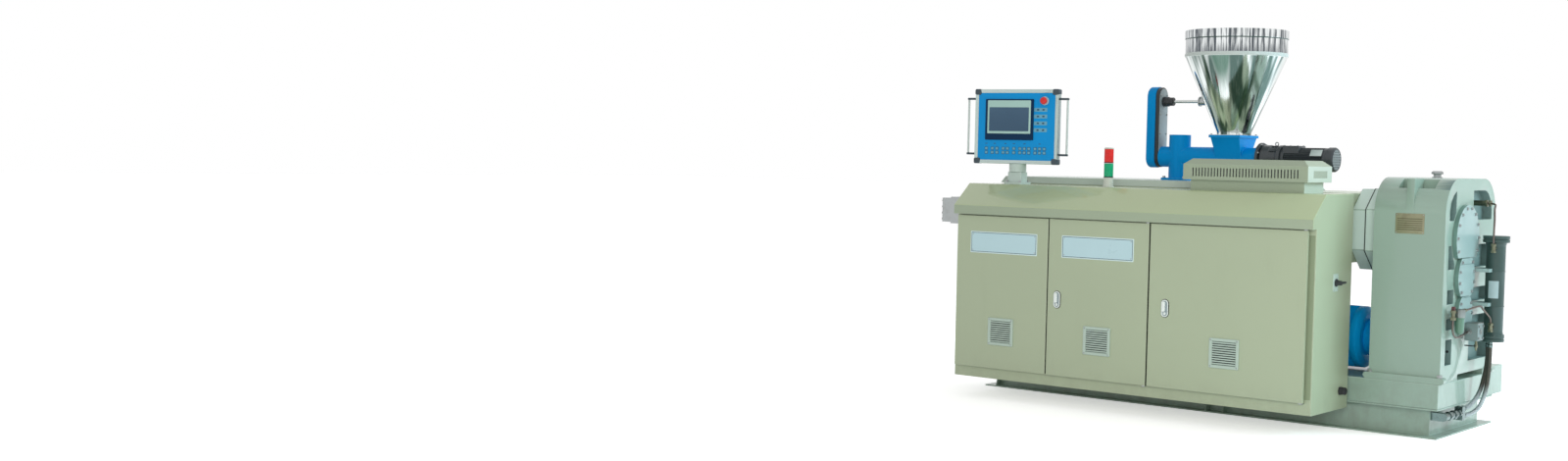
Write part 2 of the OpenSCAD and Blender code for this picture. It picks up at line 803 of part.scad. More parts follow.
// Cabinet
module cabinet_floor() {
    color("darkkhaki")
        block([cab_left + sheet_t, frame_front + frame_t, cab_bottom], [cab_right - sheet_t, cab_back - sheet_t, cab_bottom + sheet_t]);
}
module cabinet_back() {
    color("darkkhaki")
        block([cab_left + sheet_t, cab_back - sheet_t, cab_bottom], [cab_right - sheet_t, cab_back, hood_top - sheet_t]);
}
module end_outline() {
    line = hood_line(sheet_t);
    polygon([
        [frame_front, cab_bottom], [cab_back, cab_bottom], line[3], line[2], line[1], line[0], [frame_front, hood_lip]
    ]);
}
module cabinet_ends() {
    color("darkkhaki") {
        along_x(cab_left, sheet_t) end_outline();
        along_x(cab_right - sheet_t, sheet_t) end_outline();
    }
}
rail_top = door_bottom + rail_lap;
top_rail_z = door_top - 22;
module cabinet_rails() {
    color("darkkhaki") {
        block([cab_left + sheet_t, frame_front, cab_bottom], [cab_right - sheet_t, frame_front + frame_t, rail_top]);
        block([cab_left + sheet_t, frame_front, top_rail_z], [cab_right - sheet_t, frame_front + frame_t, hood_lip + 30]);
    }
}
module cabinet_posts() {
    left = cab_left + sheet_t;
    right = cab_right - sheet_t;
    posts = [
        [left, left + post_w],
        [seam_left - post_w / 2, seam_left + post_w / 2],
        [seam_middle - post_w / 2, seam_middle + post_w / 2],
        [right - post_w, right]
    ];
    color("darkkhaki")
        for (post = posts)
            block([post[0], frame_front, rail_top], [post[1], frame_front + frame_t, top_rail_z]);
}
module cabinet_hood() {
    outer = hood_line(0);
    inner = hood_line(sheet_t);
    color("darkkhaki")
        along_x(cab_left, cab_len)
            polygon([
                outer[0], outer[1], outer[2], outer[3],
                inner[3], inner[2], inner[1], inner[0]
            ]);
}
module cabinet_brackets() {
    leg = 90;
    bar = 8;
    bracket_w = 120;
    first_in = 300;
    second_in = 700;
    third_in = 1000;
    spacer_in = 260;
    spacer_play = 10;
    places = [cab_left + first_in, cab_left + second_in, cab_left + third_in];
    spacer_x = cab_right - spacer_in;
    color("gray") {
        for (x = places) {
            block([x, cab_back, base_h], [x + bracket_w, cab_back + bar, base_h + leg]);
            block([x, cab_back + bar, base_h], [x + bracket_w, cab_back + leg, base_h + bar]);
        }
        block(
            [spacer_x, cab_back, base_h + spacer_play],
            [spacer_x + bracket_w, y_front + plinth_in, z_plinth - spacer_play]
        );
    }
}
module left_panel() {
    color("darkkhaki")
        block(
            [cab_left + panel_in, door_front, door_bottom],
            [seam_left - door_seam / 2, frame_front, door_top]
        );
}
module hinged_door(left, right, hinge_x) {
    difference() {
        block([left, door_front, door_bottom], [right, door_back, door_top]);
        rod_z(hinge_x, hinge_y, door_bottom - cut, pin_len + 2 * cut, pin_r + run);
        rod_z(hinge_x, hinge_y, door_top - pin_len - cut, pin_len + 2 * cut, pin_r + run);
    }
}
module door_middle() {
    color("darkkhaki") hinged_door(seam_left + door_seam / 2, seam_middle - door_seam / 2, middle_hinge_x);
}
module door_right() {
    color("darkkhaki") hinged_door(seam_middle + door_seam / 2, door_end, right_hinge_x);
}
module hinge_pins() {
    tab_w = 18;
    tab_t = 5;
    color("gray")
        for (x = [middle_hinge_x, right_hinge_x]) {
            block([x - tab_w / 2, door_front + 1, door_bottom - seat - tab_t], [x + tab_w / 2, frame_front, door_bottom - seat]);
            rod_z(x, hinge_y, door_bottom - seat, pin_len + seat, pin_r);
            block([x - tab_w / 2, door_front + 1, door_top + seat], [x + tab_w / 2, frame_front, door_top + seat + tab_t]);
            rod_z(x, hinge_y, door_top - pin_len, pin_len + seat, pin_r);
        }
}
module louvre_vent(x) {
    border = 15;
    pitch = (vent_h - 2 * border) / louvres;
    difference() {
        block([x, door_front - vent_t, vent_z], [x + vent_w, door_front, vent_z + vent_h]);
        for (i = [0 : louvres - 1])
            block([x + border, door_front - vent_t - cut, vent_z + border + i * pitch],
                  [x + vent_w - border, door_front + cut, vent_z + border + (i + 0.6) * pitch]);
    }
}
module left_vent() {
    color("whitesmoke") louvre_vent(cab_left + 236);
}
module middle_vent() {
    color("whitesmoke") louvre_vent(seam_left + 231);
}
module right_vent() {
    color("whitesmoke") louvre_vent(seam_middle + 352);
}
module latch(x) {
    r = latch_w / 2;
    translate([0, door_front, 0]) rotate([90, 0, 0]) linear_extrude(latch_t) {
        translate([x, latch_z - latch_h / 2 + r]) square([latch_w, latch_h - latch_w]);
        for (z = [latch_z - latch_h / 2 + r, latch_z + latch_h / 2 - r])
            translate([x + r, z]) circle(r);
    }
}
module middle_latch() {
    color("silver") latch(seam_left + 43);
}
module right_latch() {
    color("silver") latch(seam_middle + 78);
}

// Fittings on the cabinet's right end and on the hood
switch_y = frame_front + 247;
switch_plate_t = 4;
switch_pin_r = 6;
switch_pin_len = 20;
module switch_plate() {
    color("whitesmoke") {
        block([cab_right, switch_y - 30, switch_z - 44], [cab_right + switch_plate_t, switch_y + 30, switch_z + 44]);
        rod_x(cab_right + switch_plate_t, switch_y, switch_z, switch_pin_len, switch_pin_r);
    }
}
module switch_lever() {
    hub_r = 20;
    hub_len = 30;
    arm_t = 14;
    arm_w = 14;
    x = cab_right + switch_plate_t + seat;
    color("dimgray")
        difference() {
            union() {
                rod_x(x, switch_y, switch_z, hub_len, hub_r);
                block([x + hub_len - arm_t, switch_y, switch_z - arm_w / 2], [x + hub_len, switch_y + lever_len, switch_z + arm_w / 2]);
            }
            rod_x(x - cut, switch_y, switch_z, switch_pin_len + 2 * cut, switch_pin_r + run);
        }
}
module cable_gland() {
    gland_y = cab_back - 100;
    gland_z = 208;
    nut_t = 10;
    color("dimgray") {
        translate([cab_right, gland_y, gland_z]) rotate([0, 90, 0]) cylinder(h = nut_t, r = gland_r + 5, $fn = 6);
        rod_x(cab_right, gland_y, gland_z, nut_t + 26, gland_r);
    }
}
module vent_cover() {
    right = cab_right - 108;
    left = right - cover_box_len;
    front = hood_edge + 22;
    back = front + cover_box_w;
    wall_z = hood_top + skirt_h;
    lid_z = wall_z + cover_box_h;
    skirt_in = 30;
    slot_w = 8;
    slot_depth = 8;
    slot_inset = 46;
    slot_pitch = (cover_box_len - 2 * slot_inset) / slots;
    end_slots = 14;
    end_pitch = 12;
    end_slot_w = 6;
    grid_in = 72;
    color("darkkhaki")
        difference() {
            union() {
                block([left + skirt_in, front + skirt_in, hood_top], [right - skirt_in, back - skirt_in, wall_z]);
                block([left, front, wall_z], [right, back, lid_z]);
                hipped([left, front, lid_z], [right, back, lid_z + hip_h], 36);
            }
            for (i = [0 : slots - 1])
                translate([left + slot_inset + (i + 0.5) * slot_pitch - slot_w / 2, front - cut, wall_z + 18])
                    cube([slot_w, slot_depth + cut, cover_box_h - 36]);
            for (i = [0 : end_slots - 1])
                translate([right - slot_depth, front + grid_in + i * end_pitch, wall_z + 22])
                    cube([slot_depth + cut, end_slot_w, cover_box_h - 44]);
        }
}
module stack_light() {
    base_h1 = 6;
    base_h2 = 46;
    lens_seam = 0.4;
    z_green = hood_top + base_h1 + base_h2 + lens_seam;
    z_red = z_green + lamp_h + lens_seam;
    z_cap = z_red + lamp_h + lens_seam;
    color("lightgray") {
        rod_z(lamp_x, lamp_y, hood_top, base_h1, lamp_r + 8);
        rod_z(lamp_x, lamp_y, hood_top, base_h1 + base_h2, lamp_r + 1);
    }
    color("green") rod_z(lamp_x, lamp_y, z_green, lamp_h, lamp_r);
    color("red") rod_z(lamp_x, lamp_y, z_red, lamp_h, lamp_r);
    color("lightgray") rod_z(lamp_x, lamp_y, z_cap, 8, lamp_r);
}

// Control panel
module panel_post() {
    foot = 55;
    foot_plate_t = 12;
    color("lightgray") {
        block([stand_x - foot, stand_y - foot, hood_top], [stand_x + foot, stand_y + foot, hood_top + foot_plate_t]);
        block([stand_x - stand_w / 2, stand_y - stand_d / 2, hood_top], [stand_x + stand_w / 2, stand_y + stand_d / 2, stand_top]);
        rod_z(stand_x, stand_y, stand_top, swivel_len, swivel_r);
    }
}
// Frame of the panel: X across its face, Y into it, origin on the post's axis
module on_panel() {
    translate([stand_x, stand_y, 0]) rotate([0, 0, box_turn]) children();
}
face_in = 8;
module panel_box() {
    color("lightgray") on_panel()
        difference() {
            union() {
                block([-box_w / 2, -box_t / 2, box_z], [box_w / 2, -box_t / 2 + box_frame_t, box_z + box_h]);
                block([-box_w / 2 + case_in, -box_t / 2, box_z], [box_w / 2 - case_in, box_t / 2, box_z + box_h - case_in]);
                rod_z(0, 0, stand_top + seat, box_z - stand_top - seat, collar_r);
            }
            block([-box_w / 2 + box_rim, -box_t / 2 - cut, box_z + box_rim],
                  [box_w / 2 - box_rim, -box_t / 2 + face_in, box_z + box_h - box_rim]);
            rod_z(0, 0, stand_top, swivel_len + cut, swivel_r + run);
        }
}
module panel_face() {
    face_t = 4;
    color("dodgerblue") on_panel()
        block([-box_w / 2 + box_rim, -box_t / 2 + face_in - face_t, box_z + box_rim],
              [box_w / 2 - box_rim, -box_t / 2 + face_in, box_z + box_h - box_rim]);
}
module panel_controls() {
    face_y = -box_t / 2 + 4;
    bezel_w = 288;
    bezel_h = 229;
    bezel_t = 8;
    bezel_x = -box_w / 2 + box_rim + 42;
    bezel_z = box_z + box_h - box_rim - 31 - bezel_h;
    stop_x = box_w / 2 - box_rim - 58;
    stop_z = box_z + box_h - box_rim - 40;
    color("midnightblue") on_panel()
        block([bezel_x, face_y - bezel_t, bezel_z], [bezel_x + bezel_w, face_y, bezel_z + bezel_h]);
    color("red") on_panel() {
        rod_y(stop_x, face_y - 18, stop_z, 18, 12);
        rod_y(stop_x, face_y - 32, stop_z, 16, 20);
    }
}
module panel_grips() {
    bar_r = 6;
    arm_h = 10;
    arm_y = 18;
    low = box_z + (box_h - grip_len) / 2;
    bar_y = (box_frame_t - box_t) / 2;
    color("silver") on_panel()
        for (side = [-1, 1]) {
            edge = side * box_w / 2;
            bar_x = side * (box_w / 2 + grip_out);
            rod_z(bar_x, bar_y, low, grip_len, bar_r);
            for (z = [low, low + grip_len - arm_h])
                block([min(edge, bar_x), bar_y - arm_y / 2, z], [max(edge, bar_x), bar_y + arm_y / 2, z + arm_h]);
        }
}

// Hopper and feeder
module hopper_profile(inset, low, high) {
    rim = 4;
    rim_h = 44;
    polygon(inset > 0 ? [
        [0, low], [outlet_r - inset, low], [outlet_r - inset, hopper_bottom + 13],
        [hopper_r - inset, cone_top], [hopper_r - inset, high], [0, high]
    ] : [
        [0, low], [outlet_r, low], [outlet_r, hopper_bottom + 13],
        [hopper_r, cone_top], [hopper_r, high - rim_h], [hopper_r + rim, high - rim_h], [hopper_r + rim, high], [0, high]
    ]);
}
module hopper() {
    color("silver")
        difference() {
            union() {
                translate([hopper_x, y_axis, 0]) rotate_extrude($fn = 96) hopper_profile(0, hopper_bottom, hopper_top);
                rod_x(hopper_x - stirrer_cone_r - boss_out, y_axis, stirrer_z, boss_out + 40, boss_r);
            }
            translate([hopper_x, y_axis, 0])
                rotate_extrude($fn = 96) hopper_profile(hopper_t, hopper_bottom - cut, hopper_top + cut);
            rod_x(hopper_x - stirrer_cone_r - boss_out - cut, y_axis, stirrer_z, boss_out + 60, stirrer_r + run);
        }
}
neck_flange_t = 14;
module feeder_housing() {
    stub_r = tube_r + 2;
    stub_top = 1497;
    foot_w = 150;
    foot_plate = 12;
    neck_top = hopper_bottom - neck_flange_t;
    neck_lip = 8;
    color("royalblue") {
        rod_x(tube_start, y_axis, tube_z, tube_end - tube_start, tube_r);
        rod_x(tube_end - 14, y_axis, tube_z, 14, tube_r + 12);
        rod_z(port_x, y_axis, lid_top, stub_top - lid_top, stub_r);
        block([port_x - foot_w / 2, y_axis - foot_w / 2, lid_top], [port_x + foot_w / 2, y_axis + foot_w / 2, lid_top + foot_plate]);
        intersection() {
            along_x(hopper_x - neck_len / 2, neck_len)
                polygon([
                    [y_axis - tube_r, tube_z], [y_axis + tube_r, tube_z],
                    [y_axis + neck_w / 2, neck_top], [y_axis - neck_w / 2, neck_top]
                ]);
            along_y(y_axis - neck_w / 2, neck_w)
                polygon([
                    [hopper_x - neck_len / 2 + 12, tube_z], [hopper_x + neck_len / 2 - 12, tube_z],
                    [hopper_x + neck_len / 2, neck_top], [hopper_x - neck_len / 2, neck_top]
                ]);
        }
        block([hopper_x - neck_len / 2 - neck_lip, y_axis - neck_w / 2 - neck_lip, neck_top],
              [hopper_x + neck_len / 2 + neck_lip, y_axis + neck_w / 2 + neck_lip, hopper_bottom]);
    }
}
module stadium(margin) {
    r = guard_w / 2 - margin;
    translate([y_axis - r, guard_z + guard_w / 2]) square([2 * r, guard_h - guard_w]);
    for (z = [guard_z + guard_w / 2, guard_z + guard_h - guard_w / 2])
        translate([y_axis, z]) circle(r);
}
module feeder_guard() {
    color("royalblue") along_x(tube_start - plate_t - guard_t, guard_t) stadium(0);
}
module stirrer_bearing() {
    color("dimgray")
        difference() {
            union() {
                along_x(tube_start - plate_t, plate_t) stadium(3);
                rod_x(tube_start - plate_t, y_axis, stirrer_z, plate_t + bearing_len, boss_r);
            }
            rod_x(tube_start + 10, y_axis, stirrer_z, bearing_len, stirrer_r + run);
        }
}
module stirrer_shaft() {
    start = tube_start + 10 + seat;
    paddle_r = 70;
    paddle_w = 24;
    paddle_t = 12;
    color("silver") {
        rod_x(start, y_axis, stirrer_z, hopper_x + 60 - start, stirrer_r);
        for (dx = [-40, 30])
            block([hopper_x + dx, y_axis - paddle_w / 2, stirrer_z - paddle_r],
                  [hopper_x + dx + paddle_t, y_axis + paddle_w / 2, stirrer_z + paddle_r]);
    }
}
module feeder_reducer() {
    color("dimgray") {
        rod_x(tube_end, y_axis, tube_z, 14, feed_motor_r + 20);
        rod_x(tube_end, y_axis, tube_z, reducer_len, feed_motor_r + 8);
        rod_z(tube_end + 92, y_axis, tube_z, feed_motor_r + 26, 9);
    }
}
module feeder_motor() {
    start = tube_end + reducer_len;
    cowl = 40;
    color("dimgray") {
        rod_x(start, y_axis, tube_z, feed_motor_len, feed_motor_r - 4);
        rod_x(start + feed_motor_len - cut, y_axis, tube_z, cowl + cut, feed_motor_r);
        block([start + 10, y_axis - feed_motor_r + 6, tube_z], [start + 104, y_axis + feed_motor_r - 6, tube_z + feed_motor_r + 6]);
    }
}

// Oil filter, pump, pipes and hoses
module oil_filter() {
    ring_t = 15;
    color("darkslategray") {
        rod_z(filter_x, filter_y, filter_bottom, filter_top - filter_bottom, filter_r);
        for (z = [filter_bottom, filter_bottom + ring_t + 3])
            rod_z(filter_x, filter_y, z, ring_t, filter_foot_r);
        for (z = [filter_top - ring_t, filter_top - 2 * ring_t - 3])
            rod_z(filter_x, filter_y, z, ring_t, filter_flange_r);
        for (port = [port_near, port_far])
            rod_z(filter_x + port[0], filter_y + port[1], hose_end_z, filter_bottom - hose_end_z + cut, 13);
    }
}
module filter_brackets() {
    bar_h = 18;
    bar_start = y_axis + 34;
    bar_past = 40;
    color("lightsteelblue")
        for (z = [lower_cover_z + 42, middle_cover_z + 31])
            difference() {
                block([gear_right, bar_start, z - bar_h / 2], [filter_x, filter_y + bar_past, z + bar_h / 2]);
                rod_z(filter_x, filter_y, z - bar_h, 2 * bar_h, filter_r + run);
            }
}
module oil_pump() {
    bowl_r = 21;
    cap_r = 25;
    inlet_r = 13;
    port_r = 8;
    bar_half = 12;
    link_half = 8;
    link_in = 2;
    inlet_rise = 30;
    bar_low = lower_cover_z + 8;
    bar_high = lower_cover_z + 26;
    color("darkslategray") {
        rod_z(can_x, pump_y, can_bottom, can_top - can_bottom + cut, bowl_r);
        translate([can_x, pump_y, can_bottom]) sphere(bowl_r);
        rod_z(can_x, pump_y, can_top, cap_top - can_top, cap_r);
        rod_y(can_x + cap_out, pump_y, cap_pipe_z, cap_back, port_r);
        block([gear_right, pump_y - bar_half, bar_low], [can_x, pump_y + bar_half, bar_high]);
        block(
            [inlet_x - link_half, inlet_y, bar_low + link_in],
            [inlet_x + link_half, pump_y, bar_high - link_in]
        );
        rod_z(inlet_x, inlet_y, inlet_bottom, lower_cover_z + inlet_rise - inlet_bottom, inlet_r);
        block([gear_right + cover_t, pump_front, pump_bottom], [gear_right + cover_t + 65, pump_front + 86, pump_top]);
    }
}
module oil_pipes() {
    color("sienna") {
        tube(top_pipe_route, pipe_r, 10, 4, [1, -1, 1]);
        tube(arch_pipe_route, pipe_r, 10, 4, [1, -1, 1]);
        tube(bend_pipe_route, pipe_r, 10, 4, [1, 0, 0]);
    }
}
// Elbow that takes a pipe from above into the filter's front
module filter_elbow(top) {
    elbow_r = 11;
    elbow_h = 46;
    arm_r = 8;
    difference() {
        union() {
            rod_z(top[0], top[1], top[2] - elbow_h, elbow_h, elbow_r);
            rod_y(top[0], top[1], top[2] - elbow_h / 2, filter_y - top[1], arm_r);
        }
        rod_z(filter_x, filter_y, filter_bottom, filter_top - filter_bottom, filter_r + run);
    }
}
module pipe_fittings() {
    fit_r = 14;
    color("goldenrod") {
        rod_x(gear_right - pocket_depth, pipe_top_y, pipe_top_z, pipe_fit_len + pocket_depth, fit_r);
        filter_elbow([elbow_x, elbow_y, high_elbow_top]);
        filter_elbow([elbow_x, elbow_y, low_elbow_top]);
    }
}
module hose_fittings() {
    pipe_y = y_front + 75;
    mid_z = (near_outlet_z + far_outlet_z) / 2;
    web_x = x_end - channel_flange;
    block_y = 40;
    nut_len = 30;
    tee = fitting_y - nut_len - block_y;
    color("silver") {
        rod_y(fitting_x, pipe_y, mid_z, tee - pipe_y, 18);
        for (part = [0.28, 0.605, 0.884])
            translate([fitting_x, between(pipe_y, tee, part), mid_z]) rotate([-90, 0, 0]) cylinder(h = 28, r = 24, $fn = 6);
        block([web_x, pipe_y, mid_z - 20], [fitting_x, pipe_y + 40, mid_z + 20]);
        block([fitting_x - 20, tee, near_outlet_z - 16], [fitting_x + 20, tee + block_y, far_outlet_z + 16]);
        for (z = [near_outlet_z, far_outlet_z])
            rod_y(fitting_x, tee + block_y, z, nut_len, 15);
    }
}
module near_hose() {
    color("gray") tube(near_route, hose_d / 2, 10, 3, [1, -1, 0]);
}
module far_hose() {
    color("gray") tube(far_route, hose_d / 2, 10, 3, [1, -1, 0]);
}

base_long_rails();
base_end_rails();
base_stiffeners();
plinth();
oil_tank();
gearbox_housing();
gearbox_covers();
gearbox_breather();
lantern_gear_half();
lantern_barrel_half();
main_motor();
motor_coupling();
barrel_leg();
barrel_cover();
barrel_lid();
barrel_end();
die_plates();
cabinet_floor();
cabinet_back();
cabinet_ends();
cabinet_rails();
cabinet_posts();
cabinet_hood();
cabinet_brackets();
left_panel();
left_vent();
door_middle();
middle_vent();
middle_latch();
door_right();
right_vent();
right_latch();
hinge_pins();
switch_plate();
switch_lever();
cable_gland();
vent_cover();
stack_light();
panel_post();
panel_box();
panel_face();
panel_controls();
panel_grips();
hopper();
feeder_housing();
feeder_guard();
stirrer_bearing();
stirrer_shaft();
feeder_reducer();
feeder_motor();
oil_filter();
filter_brackets();
oil_pump();
oil_pipes();
pipe_fittings();
hose_fittings();
near_hose();
far_hose();
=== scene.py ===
"""Looks of a plastic extruder: cabinet, gearbox, feeder and oil cooler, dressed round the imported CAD."""

import math

import bmesh
import bpy
import numpy as np
from mathutils import Matrix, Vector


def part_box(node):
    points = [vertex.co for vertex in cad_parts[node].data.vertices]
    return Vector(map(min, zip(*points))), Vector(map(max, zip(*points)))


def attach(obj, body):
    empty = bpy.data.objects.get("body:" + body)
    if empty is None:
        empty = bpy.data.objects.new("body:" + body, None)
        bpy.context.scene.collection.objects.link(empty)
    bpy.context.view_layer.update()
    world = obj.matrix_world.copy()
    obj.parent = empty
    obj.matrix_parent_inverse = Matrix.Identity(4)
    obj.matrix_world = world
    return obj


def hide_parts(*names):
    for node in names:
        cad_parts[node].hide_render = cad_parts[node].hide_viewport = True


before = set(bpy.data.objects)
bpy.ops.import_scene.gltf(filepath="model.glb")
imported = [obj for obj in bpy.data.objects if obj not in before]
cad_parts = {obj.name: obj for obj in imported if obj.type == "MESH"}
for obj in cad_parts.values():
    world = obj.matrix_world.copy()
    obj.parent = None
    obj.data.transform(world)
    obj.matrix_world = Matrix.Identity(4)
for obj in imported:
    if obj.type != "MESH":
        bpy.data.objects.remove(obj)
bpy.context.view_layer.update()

MM = 0.001
TAU = 2 * math.pi
X, Y, Z = np.eye(3)


def low(node):
    """Lowest corner of a CAD node, in metres."""
    return np.array(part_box(node)[0])


def high(node):
    """Highest corner of a CAD node, in metres."""
    return np.array(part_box(node)[1])


def middle(node):
    """Middle of a CAD node's box, in metres."""
    return (low(node) + high(node)) / 2


# Places that several pieces share

HOPPER_AXIS = np.array([0.211, middle("hopper")[1], 0.0])
# Side of the hopper's cone that carries the painted dark green reflection.
HOPPER_GREEN_REFLECTION_SIDE = (0.12, -0.99, 0.0)
CONE_TOP = 1.932
ELBOW = np.array([1.617, 0.212, 0.0])
ELBOW_TOPS = (0.963, 0.560)
FILTER_AXIS = np.array([1.607, 0.288, 0.0])
PUMP_AXIS = np.array([1.568, -0.099, 0.0])
INLET_AXIS = np.array([1.550, -0.146, 0.0])
PORT = np.array([1.560, 0.059, 0.521])


# Camera

FOCAL_PX = 1760.24
IMAGE_PX = 1600
SENSOR_MM = 36.0
CAMERA_PLACE = (4.476, -8.797, 1.350)
CAMERA_YAW = math.radians(39.988)
CAMERA_PITCH = math.radians(2.5817)
CAMERA_ROLL = math.radians(-1.1848)


def stand(across, up, back, spot):
    """Matrix of a camera or a lamp at a spot, with its own axes along the three directions."""
    axes = np.eye(4)
    axes[:3] = np.column_stack([across, up, back, spot])
    return Matrix(axes.tolist())


def photo_camera():
    """Camera whose axes are the frame's, turned by the yaw about Z, then by the pitch, then by the roll."""
    ahead = -X * math.sin(CAMERA_YAW) + Y * math.cos(CAMERA_YAW)
    right = X * math.cos(CAMERA_YAW) + Y * math.sin(CAMERA_YAW)
    forward = ahead * math.cos(CAMERA_PITCH) - Z * math.sin(CAMERA_PITCH)
    down = -Z * math.cos(CAMERA_PITCH) - ahead * math.sin(CAMERA_PITCH)
    side = right * math.cos(CAMERA_ROLL) + down * math.sin(CAMERA_ROLL)
    under = down * math.cos(CAMERA_ROLL) - right * math.sin(CAMERA_ROLL)
    data = bpy.data.cameras.new("photo_camera")
    data.sensor_width = SENSOR_MM
    data.sensor_fit = "HORIZONTAL"
    data.lens = SENSOR_MM * FOCAL_PX / IMAGE_PX
    data.clip_start = 0.1
    data.clip_end = 200
    camera = bpy.data.objects.new("photo_camera", data)
    bpy.context.scene.collection.objects.link(camera)
    camera.matrix_world = stand(side, -under, -forward, CAMERA_PLACE)
    bpy.context.scene.camera = camera


photo_camera()


# Outlines and profiles


def rounded_rectangle(width, height, radius, steps=4):
    """Rectangle about the origin, anticlockwise, whose corners are quarter circles of the given radius."""
    turn = np.radians(90 * np.arange(4)[:, None] + np.linspace(0, 90, steps + 1))
    across = (width / 2 - radius) * np.array([1, -1, -1, 1])[:, None]
    up = (height / 2 - radius) * np.array([1, 1, -1, -1])[:, None]
    return np.stack([across + radius * np.cos(turn), up + radius * np.sin(turn)], -1).reshape(-1, 2)


def circle(radius, sides=32, start=0.0):
    """Points at equal angles on a circle, anticlockwise."""
    turn = start + TAU * np.arange(sides) / sides
    return radius * np.stack([np.cos(turn), np.sin(turn)], -1)


def ribbed_circle(radius, depth, ribs, sharpness=2.0, sides=8):
    """Circle whose radius dips between its ribs: it loses the depth times a raised cosine of the angle,
    taken to the power of the sharpness."""
    turn = TAU * np.arange(ribs * sides) / (ribs * sides)
    dip = (0.5 - 0.5 * np.cos(ribs * turn)) ** sharpness
    return (radius - depth * dip)[:, None] * np.stack([np.cos(turn), np.sin(turn)], -1)


def inset(outline, distance):
    """Outline moved inwards: every corner goes along its mitre, so that each side moves by the distance."""
    ahead = np.roll(outline, -1, 0) - outline
    ahead = ahead / np.maximum(np.linalg.norm(ahead, axis=1, keepdims=True), 1e-12)
    inward = np.stack([-ahead[:, 1], ahead[:, 0]], -1)
    before = np.roll(inward, 1, 0)
    spread = 1 + (inward * before).sum(1, keepdims=True)
    return outline + distance * (inward + before) / np.maximum(spread, 0.2)


def eased(profile, radius, steps=3):
    """Profile whose inner corners become parabolas; each starts and ends at the radius, or at half a side,
    from its corner."""
    profile = np.asarray(profile, float)
    back = profile[:-2] - profile[1:-1]
    on = profile[2:] - profile[1:-1]
    back_len = np.linalg.norm(back, axis=1, keepdims=True)
    on_len = np.linalg.norm(on, axis=1, keepdims=True)
    reach = np.minimum(radius, 0.49 * np.minimum(back_len, on_len))
    start = profile[1:-1] + back / back_len * reach
    end = profile[1:-1] + on / on_len * reach
    t = np.linspace(0, 1, steps + 1)[:, None, None]
    curve = (1 - t) ** 2 * start + 2 * t * (1 - t) * profile[1:-1] + t ** 2 * end
    return np.concatenate([profile[:1], curve.transpose(1, 0, 2).reshape(-1, 2), profile[-1:]])


def curve_through(points, steps):
    """Catmull-Rom curve: each span is a cubic whose end slopes are half the chord between the neighbours."""
    points = np.asarray(points, float)
    first = 2 * points[:1] - points[1:2]
    last = 2 * points[-1:] - points[-2:-1]
    knots = np.concatenate([first, points, last])
    a, b, c, d = knots[:-3], knots[1:-2], knots[2:-1], knots[3:]
    t = (np.arange(steps) / steps)[:, None, None]
    squares = (2 * a - 5 * b + 4 * c - d) * t ** 2
    cubes = (3 * b - a - 3 * c + d) * t ** 3
    spans = 0.5 * (2 * b + (c - a) * t + squares + cubes)
    return np.concatenate([spans.transpose(1, 0, 2).reshape(-1, 3), points[-1:]])


# Places: each turns local points, across, up and outwards, into the frame


def place(origin, across, up):
    """Local (x, y, z) goes to origin + x across + y up + z (across x up). Several origins make several
    copies."""
    axes = np.stack([across, up, np.cross(across, up)])
    origin = np.asarray(origin, float)

    def put(points):
        moved = points @ axes
        return moved + origin if origin.ndim == 1 else moved[None] + origin[:, None, None, :]

    return put


def facing_front(origin):
    """Local place on a face that looks at the operator."""
    return place(origin, X, Z)


def facing_back(origin):
    """Local place on a face that looks away from the operator."""
    return place(origin, -X, Z)


def facing_right(origin):
    """Local place on a face that looks along the machine to the gearbox end."""
    return place(origin, Y, Z)


def facing_left(origin):
    """Local place on a face that looks along the machine to the die."""
    return place(origin, -Y, Z)


def facing_up(origin):
    """Local place on a face that looks up."""
    return place(origin, X, Y)


# Surfaces as grids of points


def prism(outline, depth, edge=0.0, back_edge=0.0, steps=3):
    """Carries an outline outwards from 0 to depth. At each end it shrinks along a quarter circle,
    so that its rims are round."""
    turn = np.linspace(0, math.pi / 2, steps + 1)
    back_in = back_edge * (1 - np.sin(turn)) if back_edge > 0 else np.zeros(1)
    back_up = back_edge * (1 - np.cos(turn)) if back_edge > 0 else np.zeros(1)
    front_in = edge * (1 - np.cos(turn)) if edge > 0 else np.zeros(1)
    front_up = depth - edge * (1 - np.sin(turn)) if edge > 0 else np.full(1, depth)
    shrink = np.concatenate([back_in, front_in])
    rise = np.concatenate([back_up, front_up])
    flat = np.stack([inset(outline, d) for d in shrink])
    return np.concatenate([flat, np.broadcast_to(rise[:, None, None], flat.shape[:2] + (1,))], -1)


def rim(outline, profile):
    """Carries a closed profile of (inset, rise) pairs round an outline, as a frame round a window."""
    flat = np.stack([inset(outline, d) for d, _ in profile])
    rise = np.array([r for _, r in profile], float)
    return np.concatenate([flat, np.broadcast_to(rise[:, None, None], flat.shape[:2] + (1,))], -1)


def turned(profile, sides=48):
    """Turns a profile of (rise, radius) pairs about the outward axis: x = r cos a, y = r sin a, z = rise."""
    profile = np.asarray(profile, float)
    turn = TAU * np.arange(sides) / sides
    spread = np.broadcast_to(profile[:, :1], (len(profile), sides))
    return np.stack([profile[:, 1:] * np.cos(turn), profile[:, 1:] * np.sin(turn), spread], -1)


def pipe(path, radius, sides=12, side=(1.0, -1.0, 0.5)):
    """Carries a circle along a path; it stays square to the path, turned from one fixed side direction."""
    path = np.asarray(path, float)
    along = np.gradient(path, axis=0)
    along = along / np.linalg.norm(along, axis=1, keepdims=True)
    across = np.asarray(side, float) - (along @ np.asarray(side, float))[:, None] * along
    across = across / np.linalg.norm(across, axis=1, keepdims=True)
    up = np.cross(along, across)
    turn = (TAU * np.arange(sides) / sides)[None, :, None]
    radius = np.broadcast_to(np.asarray(radius, float), len(path))[:, None, None]
    return path[:, None] + radius * (np.cos(turn) * across[:, None] + np.sin(turn) * up[:, None])


